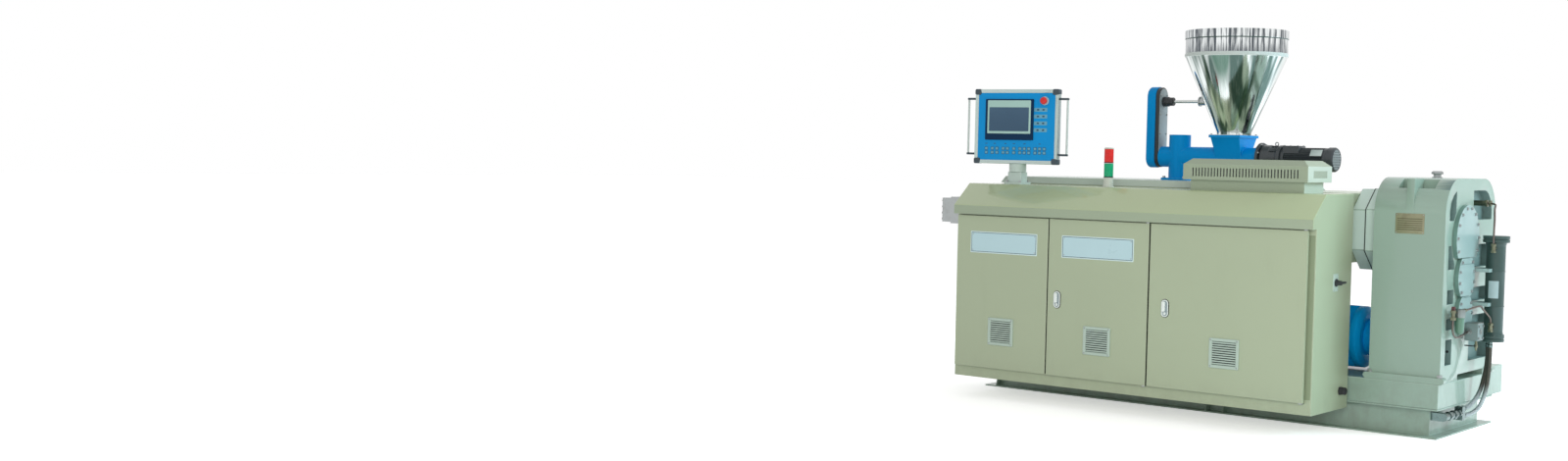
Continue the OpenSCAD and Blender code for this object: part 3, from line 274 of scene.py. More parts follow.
class Shell:
    """A mesh in the making: rings of points, each joined to the next by quads."""

    def __init__(self):
        self.points = []
        self.faces = []
        self.finishes = []
        self.count = 0

    def add(self, grid, finish=0, caps=True, loop=False):
        """Takes (rings, points, 3), or several copies of it; loop joins the last ring to the first.
        Where the enclosed volume, the sum of each face's cone from the middle, is negative, its faces
        are turned."""
        grid = np.asarray(grid, float)
        grid = grid[None] if grid.ndim == 3 else grid
        copies, rings, sides, _ = grid.shape
        ids = np.arange(copies * rings * sides).reshape(copies, rings, sides)
        here = ids if loop else ids[:, :-1]
        above = np.roll(ids, -1, 1) if loop else ids[:, 1:]
        quads = np.stack([here, np.roll(here, -1, 2), np.roll(above, -1, 2), above], -1)
        flat = grid.reshape(-1, 3)
        centre = grid.mean((1, 2))[:, None, None, None]
        corner = flat[quads] - centre
        a, b, c, d = corner[..., 0, :], corner[..., 1, :], corner[..., 2, :], corner[..., 3, :]
        volume = ((np.cross(a, b) * c).sum(-1) + (np.cross(a, c) * d).sum(-1)).sum((1, 2))
        ends = []
        if caps and not loop:
            ends = [ids[:, 0, ::-1], ids[:, -1]]
            for end in ends:
                ring = flat[end] - centre[:, 0, 0]
                hub = ring.mean(1, keepdims=True)
                volume = volume + (np.cross(hub, ring) * np.roll(ring, -1, 1)).sum((1, 2))
        turn = volume < 0
        quads = quads.reshape(copies, -1, 4)
        quads[turn] = quads[turn][..., ::-1]
        self.faces += (quads.reshape(-1, 4) + self.count).tolist()
        for end in ends:
            end[turn] = end[turn][:, ::-1]
            self.faces += (end + self.count).tolist()
        self.finishes += [finish] * (len(self.faces) - len(self.finishes))
        self.points.append(flat)
        self.count += len(flat)
        return self

    def plate(self, put, width, height, radius, depth, edge=0.0, back_edge=0.0, finish=0):
        """Plate with rounded corners, as deep as given outwards, at a place."""
        outline = rounded_rectangle(width, height, radius)
        return self.add(put(prism(outline, depth, edge, back_edge)), finish)

    def hexagon(self, put, radius, depth, edge=0.0, back_edge=0.0, finish=0):
        """Six-sided nut or bolt head at a place; the radius reaches its corners."""
        return self.add(put(prism(circle(radius, 6), depth, edge, back_edge)), finish)

    def turn(self, put, profile, sides, finish=0, loop=False):
        """Turned piece at a place."""
        return self.add(put(turned(profile, sides)), finish, loop=loop)


def settle(obj, body, nodes=()):
    """Lets a piece ride on its body and stand for its CAD nodes."""
    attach(obj, body)
    if nodes:
        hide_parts(*nodes)
    return obj


def give(mesh, finishes):
    """Adds one finish or several to a mesh, in the order of their numbers."""
    for finish in finishes if isinstance(finishes, (list, tuple)) else [finishes]:
        mesh.materials.append(finish)


def piece(name, shell, finishes, body="machine", nodes=(), crease=38):
    """Makes the shell a mesh object: doubles merged, smooth but for edges sharper than the crease angle."""
    mesh = bpy.data.meshes.new(name)
    mesh.from_pydata(np.concatenate(shell.points).tolist(), [], shell.faces)
    mesh.polygons.foreach_set("material_index", np.array(shell.finishes, np.int32))
    work = bmesh.new()
    work.from_mesh(mesh)
    bmesh.ops.remove_doubles(work, verts=work.verts, dist=2e-6)
    work.to_mesh(mesh)
    work.free()
    mesh.shade_smooth()
    mesh.set_sharp_from_angle(angle=math.radians(crease))
    give(mesh, finishes)
    obj = bpy.data.objects.new(name, mesh)
    bpy.context.scene.collection.objects.link(obj)
    return settle(obj, body, nodes)


def choose(mesh, mark):
    """Sets each face's finish to the number that mark gives for the faces' middles and directions."""
    middles, directions = np.zeros((2, len(mesh.polygons) * 3))
    mesh.polygons.foreach_get("center", middles)
    mesh.polygons.foreach_get("normal", directions)
    chosen = mark(middles.reshape(-1, 3), directions.reshape(-1, 3))
    mesh.polygons.foreach_set("material_index", chosen.astype(np.int32))


def rounded(node, finishes, width, body="machine", segments=2, angle=35, mark=None, edge=-1):
    """Copy of a CAD node with its triangles joined into flat faces, and its sharp edges rounded by a bevel.
    mark takes the faces' middles and directions, and gives the number of each face's finish.
    edge is the number of the finish on the rounded edges, or -1 for that of the faces beside them."""
    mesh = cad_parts[node].data.copy()
    mesh.name = node + "_rounded"
    work = bmesh.new()
    work.from_mesh(mesh)
    bmesh.ops.remove_doubles(work, verts=work.verts, dist=1e-5)
    flat = math.radians(1)
    bmesh.ops.dissolve_limit(work, angle_limit=flat, verts=work.verts, edges=work.edges)
    work.to_mesh(mesh)
    work.free()
    mesh.materials.clear()
    give(mesh, finishes)
    mesh.polygons.foreach_set("material_index", np.zeros(len(mesh.polygons), np.int32))
    if mark:
        choose(mesh, mark)
    mesh.shade_smooth()
    mesh.set_sharp_from_angle(angle=math.radians(angle))
    obj = bpy.data.objects.new(node + "_rounded", mesh)
    bpy.context.scene.collection.objects.link(obj)
    bevel = obj.modifiers.new("round_edges", "BEVEL")
    bevel.width = width
    bevel.segments = segments
    bevel.limit_method = "ANGLE"
    bevel.angle_limit = math.radians(angle)
    bevel.harden_normals = True
    bevel.use_clamp_overlap = True
    bevel.material = edge
    return settle(obj, body, (node,))


def refinish(node, finish):
    """Gives a CAD node that stays its own finish."""
    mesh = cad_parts[node].data
    mesh.materials.clear()
    give(mesh, finish)


# Shader nodes


class Wire:
    """A shader socket to reckon with: an expression adds the Math nodes that it needs."""

    def __init__(self, finish, socket):
        self.finish = finish
        self.socket = socket

    def reckon(self, operation, a, b=0.0, c=0.0):
        settings = {"operation": operation}
        return self.finish.node("Math", settings, {0: a, 1: b, 2: c})

    def __add__(self, other):
        return self.reckon("ADD", self, other)

    def __radd__(self, other):
        return self.reckon("ADD", other, self)

    def __sub__(self, other):
        return self.reckon("SUBTRACT", self, other)

    def __rsub__(self, other):
        return self.reckon("SUBTRACT", other, self)

    def __mul__(self, other):
        return self.reckon("MULTIPLY", self, other)

    def __rmul__(self, other):
        return self.reckon("MULTIPLY", other, self)

    def sine(self):
        return self.reckon("SINE", self)

    def most(self, other):
        return self.reckon("MAXIMUM", self, other)

    def between(self, start, end):
        """0 at start, 1 at end, with a smooth step between them."""
        settings = {"interpolation_type": "SMOOTHSTEP"}
        return self.finish.node("MapRange", settings, {"Value": self, "From Min": start, "From Max": end})


class Finish:
    """A material in the making, on a Principled shader."""

    def __init__(self, name):
        self.material = bpy.data.materials.new(name)
        self.material.use_nodes = True
        self.tree = self.material.node_tree
        self.tree.nodes.clear()
        self.shader = self.tree.nodes.new("ShaderNodeBsdfPrincipled")
        end = self.tree.nodes.new("ShaderNodeOutputMaterial")
        self.tree.links.new(self.shader.outputs["BSDF"], end.inputs["Surface"])
        self.coordinates = self.node("TexCoord", {}, {}, "Object")

    def node(self, kind, settings, sockets, output=0):
        """Adds a node: its type, its settings first, then the values or links of its sockets."""
        made = self.tree.nodes.new("ShaderNode" + kind)
        for key, value in settings.items():
            setattr(made, key, value)
        for key, value in sockets.items():
            self.feed(made.inputs[key], value)
        return Wire(self, made.outputs[output])

    def feed(self, socket, value):
        if isinstance(value, Wire):
            self.tree.links.new(value.socket, socket)
        else:
            socket.default_value = value

    def set(self, **values):
        """Sets the shader's sockets; an underscore stands for a space."""
        for key, value in values.items():
            self.feed(self.shader.inputs[key.replace("_", " ")], value)
        return self

    def noise(self, scale, detail=3.0, roughness=0.5, stretch=(1.0, 1.0, 1.0), shift=(0.0, 0.0, 0.0)):
        """Noise of about one feature per 1/scale metres, finer along a direction that is stretched more."""
        spot = self.node("Mapping", {}, {"Vector": self.coordinates, "Scale": stretch, "Location": shift})
        sockets = {"Vector": spot, "Scale": scale, "Detail": detail, "Roughness": roughness}
        return self.node("TexNoise", {}, sockets)

    def part(self, axis):
        """One of the object coordinates, 0 to 2."""
        return self.node("SeparateXYZ", {}, {"Vector": self.coordinates}, axis)

    def blend(self, mask, first, second):
        """Colour that goes from first to second as the mask goes from 0 to 1."""
        sockets = {"Factor": mask, 6: first, 7: second}
        return self.node("Mix", {"data_type": "RGBA"}, sockets, 2)

    def bump(self, height, strength, distance):
        sockets = {"Height": height, "Strength": strength, "Distance": distance}
        return self.node("Bump", {}, sockets)


def colour(red, green, blue):
    """A screen colour, 0 to 255, as the linear colour that renders like it."""
    values = np.array([red, green, blue]) / 255
    linear = np.where(values <= 0.04045, values / 12.92, ((values + 0.055) / 1.055) ** 2.4)
    return (*linear.tolist(), 1.0)


def toned(base, factor):
    """A colour made lighter or darker by a factor."""
    return (*[min(1.0, channel * factor) for channel in base[:3]], 1.0)


def paint(name, base, roughness=0.4, tone=0.05, coat=0.2, grime=0.0, grime_top=0.3, wear=0.0, peel=0.03,
          shine=0.5):
    """Sprayed enamel: slow changes of tone, fine orange peel, dust that settles low down, and small chips."""
    finish = Finish(name)
    drift = finish.noise(1.7, 2.0)
    speck = finish.noise(140.0, 2.0)
    shade = finish.blend(drift * 0.75 + speck * 0.25, toned(base, 1 - tone), toned(base, 1 + tone))
    streak = finish.noise(9.0, 4.0, 0.6, (1.0, 1.0, 0.18), (3.1, 0.7, 5.2))
    shade = finish.blend(streak.between(0.56, 0.8) * 0.22, shade, toned(base, 0.86))
    dull = streak * 0.12
    if grime > 0:
        height = finish.part(2)
        patchy = finish.noise(14.0, 5.0, 0.65, (1.0, 1.0, 0.6), (1.3, 4.1, 2.2))
        dusty = (1 - height.between(0.0, grime_top)) * patchy.between(0.3, 0.75) * grime
        shade = finish.blend(dusty, shade, colour(104, 100, 86))
        dull = dull + dusty * 0.3
    if wear > 0:
        chips = finish.noise(85.0, 3.0, 0.55, (1.0, 1.0, 1.0), (7.7, 2.1, 0.4)).between(0.74, 0.77) * wear
        shade = finish.blend(chips, shade, colour(96, 98, 92))
        dull = dull + chips * 0.2
    finish.set(Base_Color=shade, Roughness=roughness + dull - 0.05, Coat_Weight=coat, Coat_Roughness=0.08)
    finish.set(Specular_IOR_Level=shine)
    finish.set(Normal=finish.bump(finish.noise(420.0, 2.0), peel, 0.0006))
    return finish.material


def metal(name, base, roughness=0.3, tone=0.12, brushed=(1.0, 1.0, 1.0), scale=60.0, stain=0.0, bump=0.05):
    """Metal with brushed or cast grain, a slow change of tone, and stains where it is handled."""
    finish = Finish(name)
    grain = finish.noise(scale, 4.0, 0.6, brushed)
    drift = finish.noise(5.0, 3.0, 0.5, (1.0, 1.0, 1.0), (2.0, 5.0, 1.0))
    shade = finish.blend(grain * 0.6 + drift * 0.4, toned(base, 1 - tone), toned(base, 1 + tone))
    dull = grain * 0.15
    if stain > 0:
        spots = finish.noise(24.0, 5.0, 0.6, (1.0, 1.0, 1.0), (4.0, 9.0, 2.0)).between(0.52, 0.72) * stain
        shade = finish.blend(spots, shade, colour(88, 72, 56))
        dull = dull + spots * 0.35
    finish.set(Base_Color=shade, Metallic=1.0, Roughness=roughness + dull - 0.07)
    finish.set(Normal=finish.bump(grain, bump, 0.0008))
    return finish.material


def plastic(name, base, roughness=0.45, tone=0.08, scale=300.0, bump=0.06, shine=0.5):
    """Moulded plastic: fine spark texture, and a little dust in its tone."""
    finish = Finish(name)
    grain = finish.noise(scale, 2.0)
    drift = finish.noise(11.0, 3.0)
    shade = finish.blend(grain * 0.35 + drift * 0.65, toned(base, 1 - tone), toned(base, 1 + tone))
    finish.set(Base_Color=shade, Roughness=roughness + drift * 0.14 - 0.07, Specular_IOR_Level=shine)
    finish.set(Normal=finish.bump(grain, bump, 0.0004))
    return finish.material


KHAKI = paint("khaki_paint", colour(166, 178, 149), roughness=0.42, tone=0.045, coat=0.4, grime=0.25)
KHAKI_HOOD = paint("khaki_paint_on_hood", colour(170, 185, 144), roughness=0.42, tone=0.045, coat=0.9)
# Darker copy of the hood's khaki on its front lip: painted shade.
KHAKI_LIP_PAINTED_SHADE = paint("khaki_hood_lip_painted_shade", colour(153, 167, 142), roughness=0.44, tone=0.045, coat=0.3)
KHAKI_SHADE = paint("khaki_paint_on_vent_cover", colour(150, 163, 140), roughness=0.44, coat=0.1)
# Darker khaki on the right post's front beside the right door: painted shade.
KHAKI_MARGIN_PAINTED_SHADE = paint("khaki_painted_shade_beside_door", colour(136, 149, 120), roughness=0.5, tone=0.06, coat=0.05)
# Lighter copy of the khaki on the vent cover's right end: painted light.
KHAKI_VENT_END_PAINTED_LIGHT = paint("khaki_vent_end_painted_light", colour(194, 204, 190), roughness=0.44, coat=0.1)
# Lighter paint on the rounded folds and edges: chipped wear, and a painted highlight along every edge.
KHAKI_FOLD_WEAR_AND_HIGHLIGHT = paint("khaki_fold_wear_and_painted_highlight", colour(180, 191, 165), roughness=0.46, tone=0.06, coat=0.1,
                   grime=0.15, wear=0.8)
GREEN = paint("grey_green_paint", colour(141, 164, 150), roughness=0.36, coat=0.5, grime=0.35,
              grime_top=0.45)
GREEN_EDGE_WEAR_AND_HIGHLIGHT = paint("grey_green_edge_wear_and_painted_highlight", colour(162, 184, 172), roughness=0.42, tone=0.07, coat=0.15,
                   grime=0.3, grime_top=0.5, wear=0.9)
# Darker copy of the grey green: painted shade in the gearbox's pockets and at the cover joints.
GREEN_PAINTED_SHADE = paint("grey_green_painted_shade_in_pockets_and_seams", colour(104, 128, 124), roughness=0.5, tone=0.1, coat=0.05)
# Lighter copy of the grey green on the lantern: painted light.
GREEN_LANTERN_PAINTED_LIGHT = paint("green_lantern_painted_light", colour(196, 216, 208), roughness=0.38)
COVER_PAINT = paint("pale_cover_paint", colour(150, 174, 170), roughness=0.32, coat=0.3)
# Darker copy of the cover paint on the covers' rims: painted shade.
COVER_RIM_PAINTED_SHADE = paint("cover_rim_painted_shade", colour(104, 136, 126), roughness=0.42, tone=0.08, coat=0.1)
LID_GREY = paint("pale_lid_paint", colour(176, 190, 178), roughness=0.42, coat=0.4)
FEEDER_BLUE = paint("feeder_blue_enamel", colour(0, 136, 204), tone=0.07, coat=0.03, wear=0.25, peel=0.05,
                    shine=0.1)
# Lighter blue on the feeder's rounded edges: chipped wear, and a painted highlight along every edge.
FEEDER_EDGE_WEAR_AND_HIGHLIGHT = paint("feeder_blue_edge_wear_and_painted_highlight", colour(62, 156, 214), roughness=0.42, tone=0.08, coat=0.05,
                    wear=0.6, peel=0.05, shine=0.15)
# Motor blue raised above the enamel's own blue: partly the paint, partly painted light on a motor that sits
# in shade.
MOTOR_BLUE_PAINTED_LIGHT = paint("motor_blue_enamel_painted_light", colour(6, 160, 230), tone=0.08, coat=0.05, grime=0.2,
                   grime_top=0.35, wear=0.3, peel=0.09, shine=0.15)
DARK_PAINT = paint("dark_machine_paint", colour(48, 54, 58), tone=0.16, wear=0.5, peel=0.1)
GRILLE_PAINT = paint("pale_grille_paint", colour(150, 158, 160), roughness=0.46, tone=0.12, coat=0.1,
                     wear=0.5, peel=0.1)
PLATE_GREY = paint("grey_plate_paint", colour(138, 152, 156), roughness=0.42, tone=0.08, coat=0.15,
                   wear=0.4)
FILTER_PAINT = paint("filter_grey_paint", colour(54, 76, 72), roughness=0.38, tone=0.12, coat=0.15,
                     wear=0.4, peel=0.06, shine=0.4)
PUMP_PAINT = paint("pump_grey_paint", colour(112, 130, 128), roughness=0.42, tone=0.14, coat=0.15, wear=0.5,
                   peel=0.08)
PLUG_RED = paint("plug_red_paint", colour(80, 34, 38), roughness=0.42, tone=0.14, coat=0.1, wear=0.5)
POST_PAINT = paint("post_pale_paint", colour(180, 196, 188), tone=0.04)
STEEL = metal("turned_steel", colour(168, 172, 172), roughness=0.32, scale=70.0, stain=0.15)
GREY_STEEL = metal("grey_cast_steel", colour(140, 148, 146), roughness=0.34, tone=0.16)
PLATED = metal("plated_steel", colour(196, 200, 198), roughness=0.22, tone=0.1, scale=90.0)
GRIP_STEEL = paint("grip_bar_pale_paint", colour(188, 198, 194), tone=0.06, wear=0.4)
LATCH_WHITE = paint("latch_white_enamel", colour(228, 236, 232), roughness=0.3, tone=0.04, coat=0.4,
                    wear=0.3)
FITTING_STEEL = metal("oiled_fitting_steel", colour(112, 130, 128), roughness=0.26, tone=0.4, scale=55.0,
                      stain=0.05)
WORN_STEEL = metal("worn_barrel_steel", colour(128, 126, 120), roughness=0.42, tone=0.2, scale=40.0,
                   stain=0.6, bump=0.12)
ALUMINIUM = metal("drawn_aluminium", colour(182, 196, 192), roughness=0.38, tone=0.05,
                  brushed=(1.0, 1.0, 14.0), scale=26.0)
BRASS = metal("machined_brass", colour(122, 124, 104), roughness=0.34, tone=0.2, scale=80.0, stain=0.3)
BRASS_PLATE = metal("aged_brass_plate", colour(152, 150, 124), roughness=0.46, tone=0.08, scale=50.0,
                    stain=0.2)
BRASS_ROW = metal("aged_brass_rows", colour(112, 110, 88), roughness=0.5, tone=0.08, scale=50.0, stain=0.2)
PIPE_STEEL = metal("browned_pipe_steel", colour(118, 108, 102), tone=0.26, scale=45.0, stain=0.4)
VENT_GREY = plastic("vent_pale_grey_plastic", colour(178, 196, 184), roughness=0.42, tone=0.05)
LAMP_GREY = plastic("lamp_foot_grey", colour(186, 192, 180), roughness=0.4, tone=0.06)
BLACK_PLASTIC = plastic("black_plastic", colour(34, 37, 40), roughness=0.42, tone=0.14)
CORNER_GREY = plastic("corner_cap_grey", colour(52, 66, 74), tone=0.16)
RUBBER = plastic("black_rubber", colour(26, 28, 30), roughness=0.6, tone=0.18, scale=160.0, bump=0.12)
# Dark khaki in the door seams: painted shade.
SEAM_PAINTED_SHADE = plastic("door_seam_painted_shade", colour(40, 46, 38), roughness=0.7, tone=0.16, scale=160.0, bump=0.1,
                    shine=0.2)
BOWL_GREEN = plastic("bowl_green_plastic", colour(92, 130, 110), roughness=0.2, tone=0.16, scale=60.0,
                     bump=0.02)
PANEL_BLUE = plastic("panel_blue_film", colour(8, 140, 206), roughness=0.4, tone=0.05, scale=520.0,
                     bump=0.05, shine=0.2)
PANEL_NAVY = plastic("panel_navy_film", colour(10, 44, 74), roughness=0.36, scale=520.0, bump=0.04,
                     shine=0.12)
PANEL_PALE = plastic("screen_frame_pale", colour(160, 194, 186), roughness=0.4, tone=0.05, scale=520.0,
                     bump=0.05)
KEY_BLUE = plastic("key_blue_film", colour(100, 158, 180), roughness=0.4, tone=0.06, scale=520.0, bump=0.05,
                   shine=0.3)
KEY_DARK = plastic("key_dark_film", colour(46, 78, 98), roughness=0.4, scale=520.0, bump=0.05, shine=0.3)
STOP_RED = plastic("stop_button_red", colour(204, 30, 26), roughness=0.3, tone=0.06)
STOP_COLLAR = plastic("stop_button_collar", colour(176, 186, 190), roughness=0.4, tone=0.05)
LABEL = plastic("bare_plate_pale_blue", colour(184, 213, 219), roughness=0.3, tone=0.03, scale=80.0,
                bump=0.02)
LABEL_LINE = plastic("bare_plate_border", colour(48, 82, 100), roughness=0.4, tone=0.05)
LABEL_RIM = plastic("bare_plate_rim", colour(206, 226, 224), roughness=0.3, tone=0.03, scale=80.0,
                    bump=0.02)
FILTER_LABEL = plastic("filter_label_pale", colour(164, 188, 190), roughness=0.4, scale=60.0, bump=0.02)
# Near black for the insides of slots, holes and openings: painted shade.
PAINTED_SHADE_IN_OPENINGS = plastic("painted_shade_in_openings", colour(22, 24, 24), roughness=0.8, tone=0.2)


def hopper_steel_with_painted_reflections():
    """Rolled and polished stainless sheet, a mirror whose colour carries painted reflections: upright bands
    round the hopper's axis, fine and strong on the upright wall and darker towards its bottom, broad on the
    cone, with a painted dark green reflection high on the cone's front and a painted pale highlight where the
    two meet."""
    finish = Finish("hopper_steel_painted_reflections")
    shift = (-HOPPER_AXIS[0], -HOPPER_AXIS[1], 0.0)
    spot = finish.node("Mapping", {}, {"Vector": finish.coordinates, "Location": shift})
    flat = finish.node("VectorMath", {"operation": "MULTIPLY"}, {0: spot, 1: (1.0, 1.0, 0.05)})
    round_it = finish.node("VectorMath", {"operation": "NORMALIZE"}, {0: flat})
    broad = finish.node("TexNoise", {}, {"Vector": round_it, "Scale": 3.4, "Detail": 2.0, "Roughness": 0.5})
    fine = finish.node("TexNoise", {}, {"Vector": round_it, "Scale": 30.0, "Detail": 4.0, "Roughness": 0.62})
    height = finish.part(2)
    front = finish.node("VectorMath", {"operation": "DOT_PRODUCT"}, {0: round_it, 1: HOPPER_GREEN_REFLECTION_SIDE}, "Value")
    # Painted reflections: broad bands on the cone, fine bands on the wall.
    cone = finish.blend(broad.between(0.42, 0.54), colour(84, 104, 98), colour(232, 238, 236))
    cone = finish.blend(fine.between(0.5, 0.66) * 0.3, cone, colour(150, 160, 158))
    # Painted reflection: a dark green patch high on the cone's front.
    cast = (front + broad * 0.2).between(1.0, 1.03) * height.between(1.70, 1.86)
    cone = finish.blend(cast * 0.85, cone, colour(58, 102, 84))
    # Painted reflections on the wall, darker towards its bottom.
    bright = fine.between(0.4, 0.58) * (height.between(CONE_TOP, CONE_TOP + 0.08) * 0.6 + 0.4)
    wall = finish.blend(bright, colour(86, 92, 98), colour(240, 244, 244))
    shade = finish.blend(height.between(CONE_TOP - 0.002, CONE_TOP + 0.004), cone, wall)
    # Painted highlight: a pale line at the bead where the cone meets the wall.
    below = height.between(CONE_TOP - 0.006, CONE_TOP - 0.004)
    bead = below - height.between(CONE_TOP + 0.003, CONE_TOP + 0.005)
    shade = finish.blend(bead, shade, colour(226, 232, 230))
    finish.set(Base_Color=shade, Metallic=1.0, Roughness=0.05 + fine * 0.08)
    finish.set(Normal=finish.bump(broad + fine * 0.15, 0.1, 0.004))
    return finish.material


def lamp_plastic(name, base):
    """Coloured lens plastic: a slow change of tone under a thin glossy coat."""
    finish = Finish(name)
    depth = finish.noise(40.0, 2.0)
    shade = finish.blend(depth, toned(base, 0.85), toned(base, 1.15))
    finish.set(Base_Color=shade, Roughness=0.16 + depth * 0.08, Coat_Weight=0.15, Coat_Roughness=0.06)
    finish.set(Specular_IOR_Level=0.25)
    return finish.material


def braid(name):
    """Woven steel braid: two sets of strands that cross, as the larger of two slanted waves on the hose's UV.
    It is lighter by the outlets and darker higher up."""
    finish = Finish(name)
    uv = finish.node("TexCoord", {}, {}, "UV")
    along = finish.node("SeparateXYZ", {}, {"Vector": uv}, 0)
    turn = finish.node("SeparateXYZ", {}, {"Vector": uv}, 1)
    first = ((along * 420.0 + turn * 8.0) * TAU).sine()
    second = ((along * 420.0 - turn * 8.0) * TAU).sine()
    strands = first.most(second) * 0.5 + 0.5
    worn = finish.noise(30.0, 3.0)
    lit = strands * 0.8 + worn * 0.2
    bright = finish.blend(lit, colour(84, 98, 102), colour(206, 220, 222))
    darker_above = finish.blend(lit, colour(40, 40, 36), colour(96, 96, 88))
    height = finish.part(2)
    shade = finish.blend(height.between(0.15, 0.25), bright, darker_above)
    finish.set(Base_Color=shade, Metallic=0.9, Roughness=0.5 - strands * 0.2)
    finish.set(Normal=finish.bump(strands, 0.5, 0.0012))
    return finish.material


def screen_glass():
    """Dark display glass: a slow slanted tone under a smooth front."""
    finish = Finish("screen_glass")
    tilt = finish.part(2) * 2.2 + finish.noise(3.0, 1.0) * 0.6
    shade = finish.blend(tilt.between(3.2, 4.2), colour(56, 80, 102), colour(76, 102, 124))
    finish.set(Base_Color=shade, Roughness=0.3 + finish.noise(200.0, 2.0) * 0.04, Specular_IOR_Level=0.2)
    return finish.material


HOPPER_MIRROR_PAINTED_REFLECTIONS = hopper_steel_with_painted_reflections()
LENS_RED = lamp_plastic("red_lens", colour(214, 38, 34))
LENS_GREEN = lamp_plastic("green_lens", colour(0, 158, 108))
BRAID = braid("steel_braid")
SCREEN = screen_glass()


# Hoses, which are cords with both ends on the machine

HOSE_D = 0.022
NEAR_START = np.array([1.526, 0.1282, 0.086])
FAR_START = np.array([1.526, 0.1282, 0.122])
FITTING_Y = 0.128
NEAR_END = np.array([1.601, 0.272, 0.4298])
FAR_END = np.array([1.581, 0.300, 0.4298])
HOSE_END_Z = 0.430


def rise_between(start, end, share):
    """Height a share of the way from start to end."""
    return start + (end - start) * share


def near_route():
    """Points of the near hose, out of the lower outlet, round, and up into the filter."""
    x, z = NEAR_START[0], NEAR_START[2]
    up = z + 79 * MM
    return np.array([
        NEAR_START,
        [x, FITTING_Y + 22 * MM, z],
        [x + 18 * MM, FITTING_Y + 60 * MM, z + 6 * MM],
        [x + 42 * MM, FITTING_Y + 95 * MM, z + 32 * MM],
        [x + 58 * MM, FITTING_Y + 118 * MM, up],
        [NEAR_END[0] - 7 * MM, NEAR_END[1] - 13 * MM, rise_between(up, HOSE_END_Z, 0.226)],
        [NEAR_END[0] - 2 * MM, NEAR_END[1] - 4 * MM, rise_between(up, HOSE_END_Z, 0.509)],
        [NEAR_END[0], NEAR_END[1], rise_between(up, HOSE_END_Z, 0.792)],
        NEAR_END,
    ])


def far_route():
    """Points of the far hose, out of the upper outlet, round, and up into the filter."""
    x, z = FAR_START[0], FAR_START[2]
    up = z + 88 * MM
    return np.array([
        FAR_START,
        [x, FITTING_Y + 24 * MM, z],
        [x + 12 * MM, FITTING_Y + 60 * MM, z + 12 * MM],
        [x + 27 * MM, FITTING_Y + 97 * MM, z + 43 * MM],
        [x + 40 * MM, FITTING_Y + 127 * MM, up],
        [FAR_END[0] - 7 * MM, FAR_END[1] - 23 * MM, rise_between(up, HOSE_END_Z, 0.273)],
        [FAR_END[0] - 2 * MM, FAR_END[1] - 7 * MM, rise_between(up, HOSE_END_Z, 0.545)],
        [FAR_END[0], FAR_END[1], rise_between(up, HOSE_END_Z, 0.795)],
        FAR_END,
    ])


def braided_hose(name, node, route):
    """Circle carried along the smooth curve through the route, with UV along the hose and round it."""
    path = curve_through(route, 6)
    sides = 20
    shell = Shell().add(pipe(path, HOSE_D / 2, sides, (1.0, -1.0, 0.0)))
    hose = piece(name, shell, BRAID, nodes=(node,), crease=60)
    mesh = hose.data
    spots = np.zeros(len(mesh.vertices) * 3)
    mesh.vertices.foreach_get("co", spots)
    spots = spots.reshape(-1, 3)
    steps = np.linalg.norm(np.diff(path, axis=0), axis=1)
    run = np.concatenate([[0.0], np.cumsum(steps)])
    nearest = np.linalg.norm(spots[:, None] - path[None], axis=2).argmin(1)
    corner = np.zeros(len(mesh.loops), np.int32)
    mesh.loops.foreach_get("vertex_index", corner)
    turn = np.arange(len(spots)) % sides / sides
    uv = np.stack([run[nearest][corner], turn[corner]], -1)
    wrap = mesh.uv_layers.new(name="along_the_hose")
    wrap.data.foreach_set("uv", uv.reshape(-1).astype(np.float32))
    return hose


braided_hose("near_hose_braid", "near_hose", near_route())
braided_hose("far_hose_braid", "far_hose", far_route())


# Fasteners


def four_corners(centre, across, up):
    """The four points at plus or minus across and plus or minus up from a centre."""
    return np.array([centre + a * across + b * up for a in (-1, 1) for b in (-1, 1)])


def ring_of(centre, radius, count, across, up, start=0.0):
    """Points at equal angles on a circle round a centre, in the plane of two directions."""
    spots = circle(radius, count, start)
    return np.asarray(centre) + spots[:, :1] * across + spots[:, 1:] * up


def bolt_heads(shell, put, across, rise, finish=0, washer=1.35):
    """Hexagon heads with an eased top, each on a round washer."""
    collar = across * washer / 2
    disc = [(0, collar), (rise * 0.2, collar), (rise * 0.2, across * 0.4)]
    shell.turn(put, eased(disc, rise * 0.08), 20, finish)
    return shell.hexagon(put, across / 2 / math.cos(math.pi / 6), rise, rise * 0.12, finish=finish)


def cap_screws(shell, put, radius, rise, finish=0):
    """Round socket heads: a short cylinder with an eased rim and a well in the top."""
    head = [(0, radius), (rise, radius), (rise, radius * 0.56), (rise * 0.4, radius * 0.5)]
    return shell.turn(put, eased(head, rise * 0.12), 18, finish)


def rivets(shell, put, radius, rise, finish=0):
    """Low domes: the profile is a quarter of an ellipse."""
    turn = np.linspace(0, math.pi / 2, 5)
    profile = np.stack([rise * np.sin(turn), radius * np.maximum(np.cos(turn), 0.02)], -1)
    return shell.turn(put, profile, 14, finish)


# Base, plinth and gearbox

GEARBOX_END = high("gearbox_covers")[0] - 22 * MM
GEARBOX_PLATE = np.array([1.3435, low("gearbox_housing")[1] + 14 * MM, 1.0615])


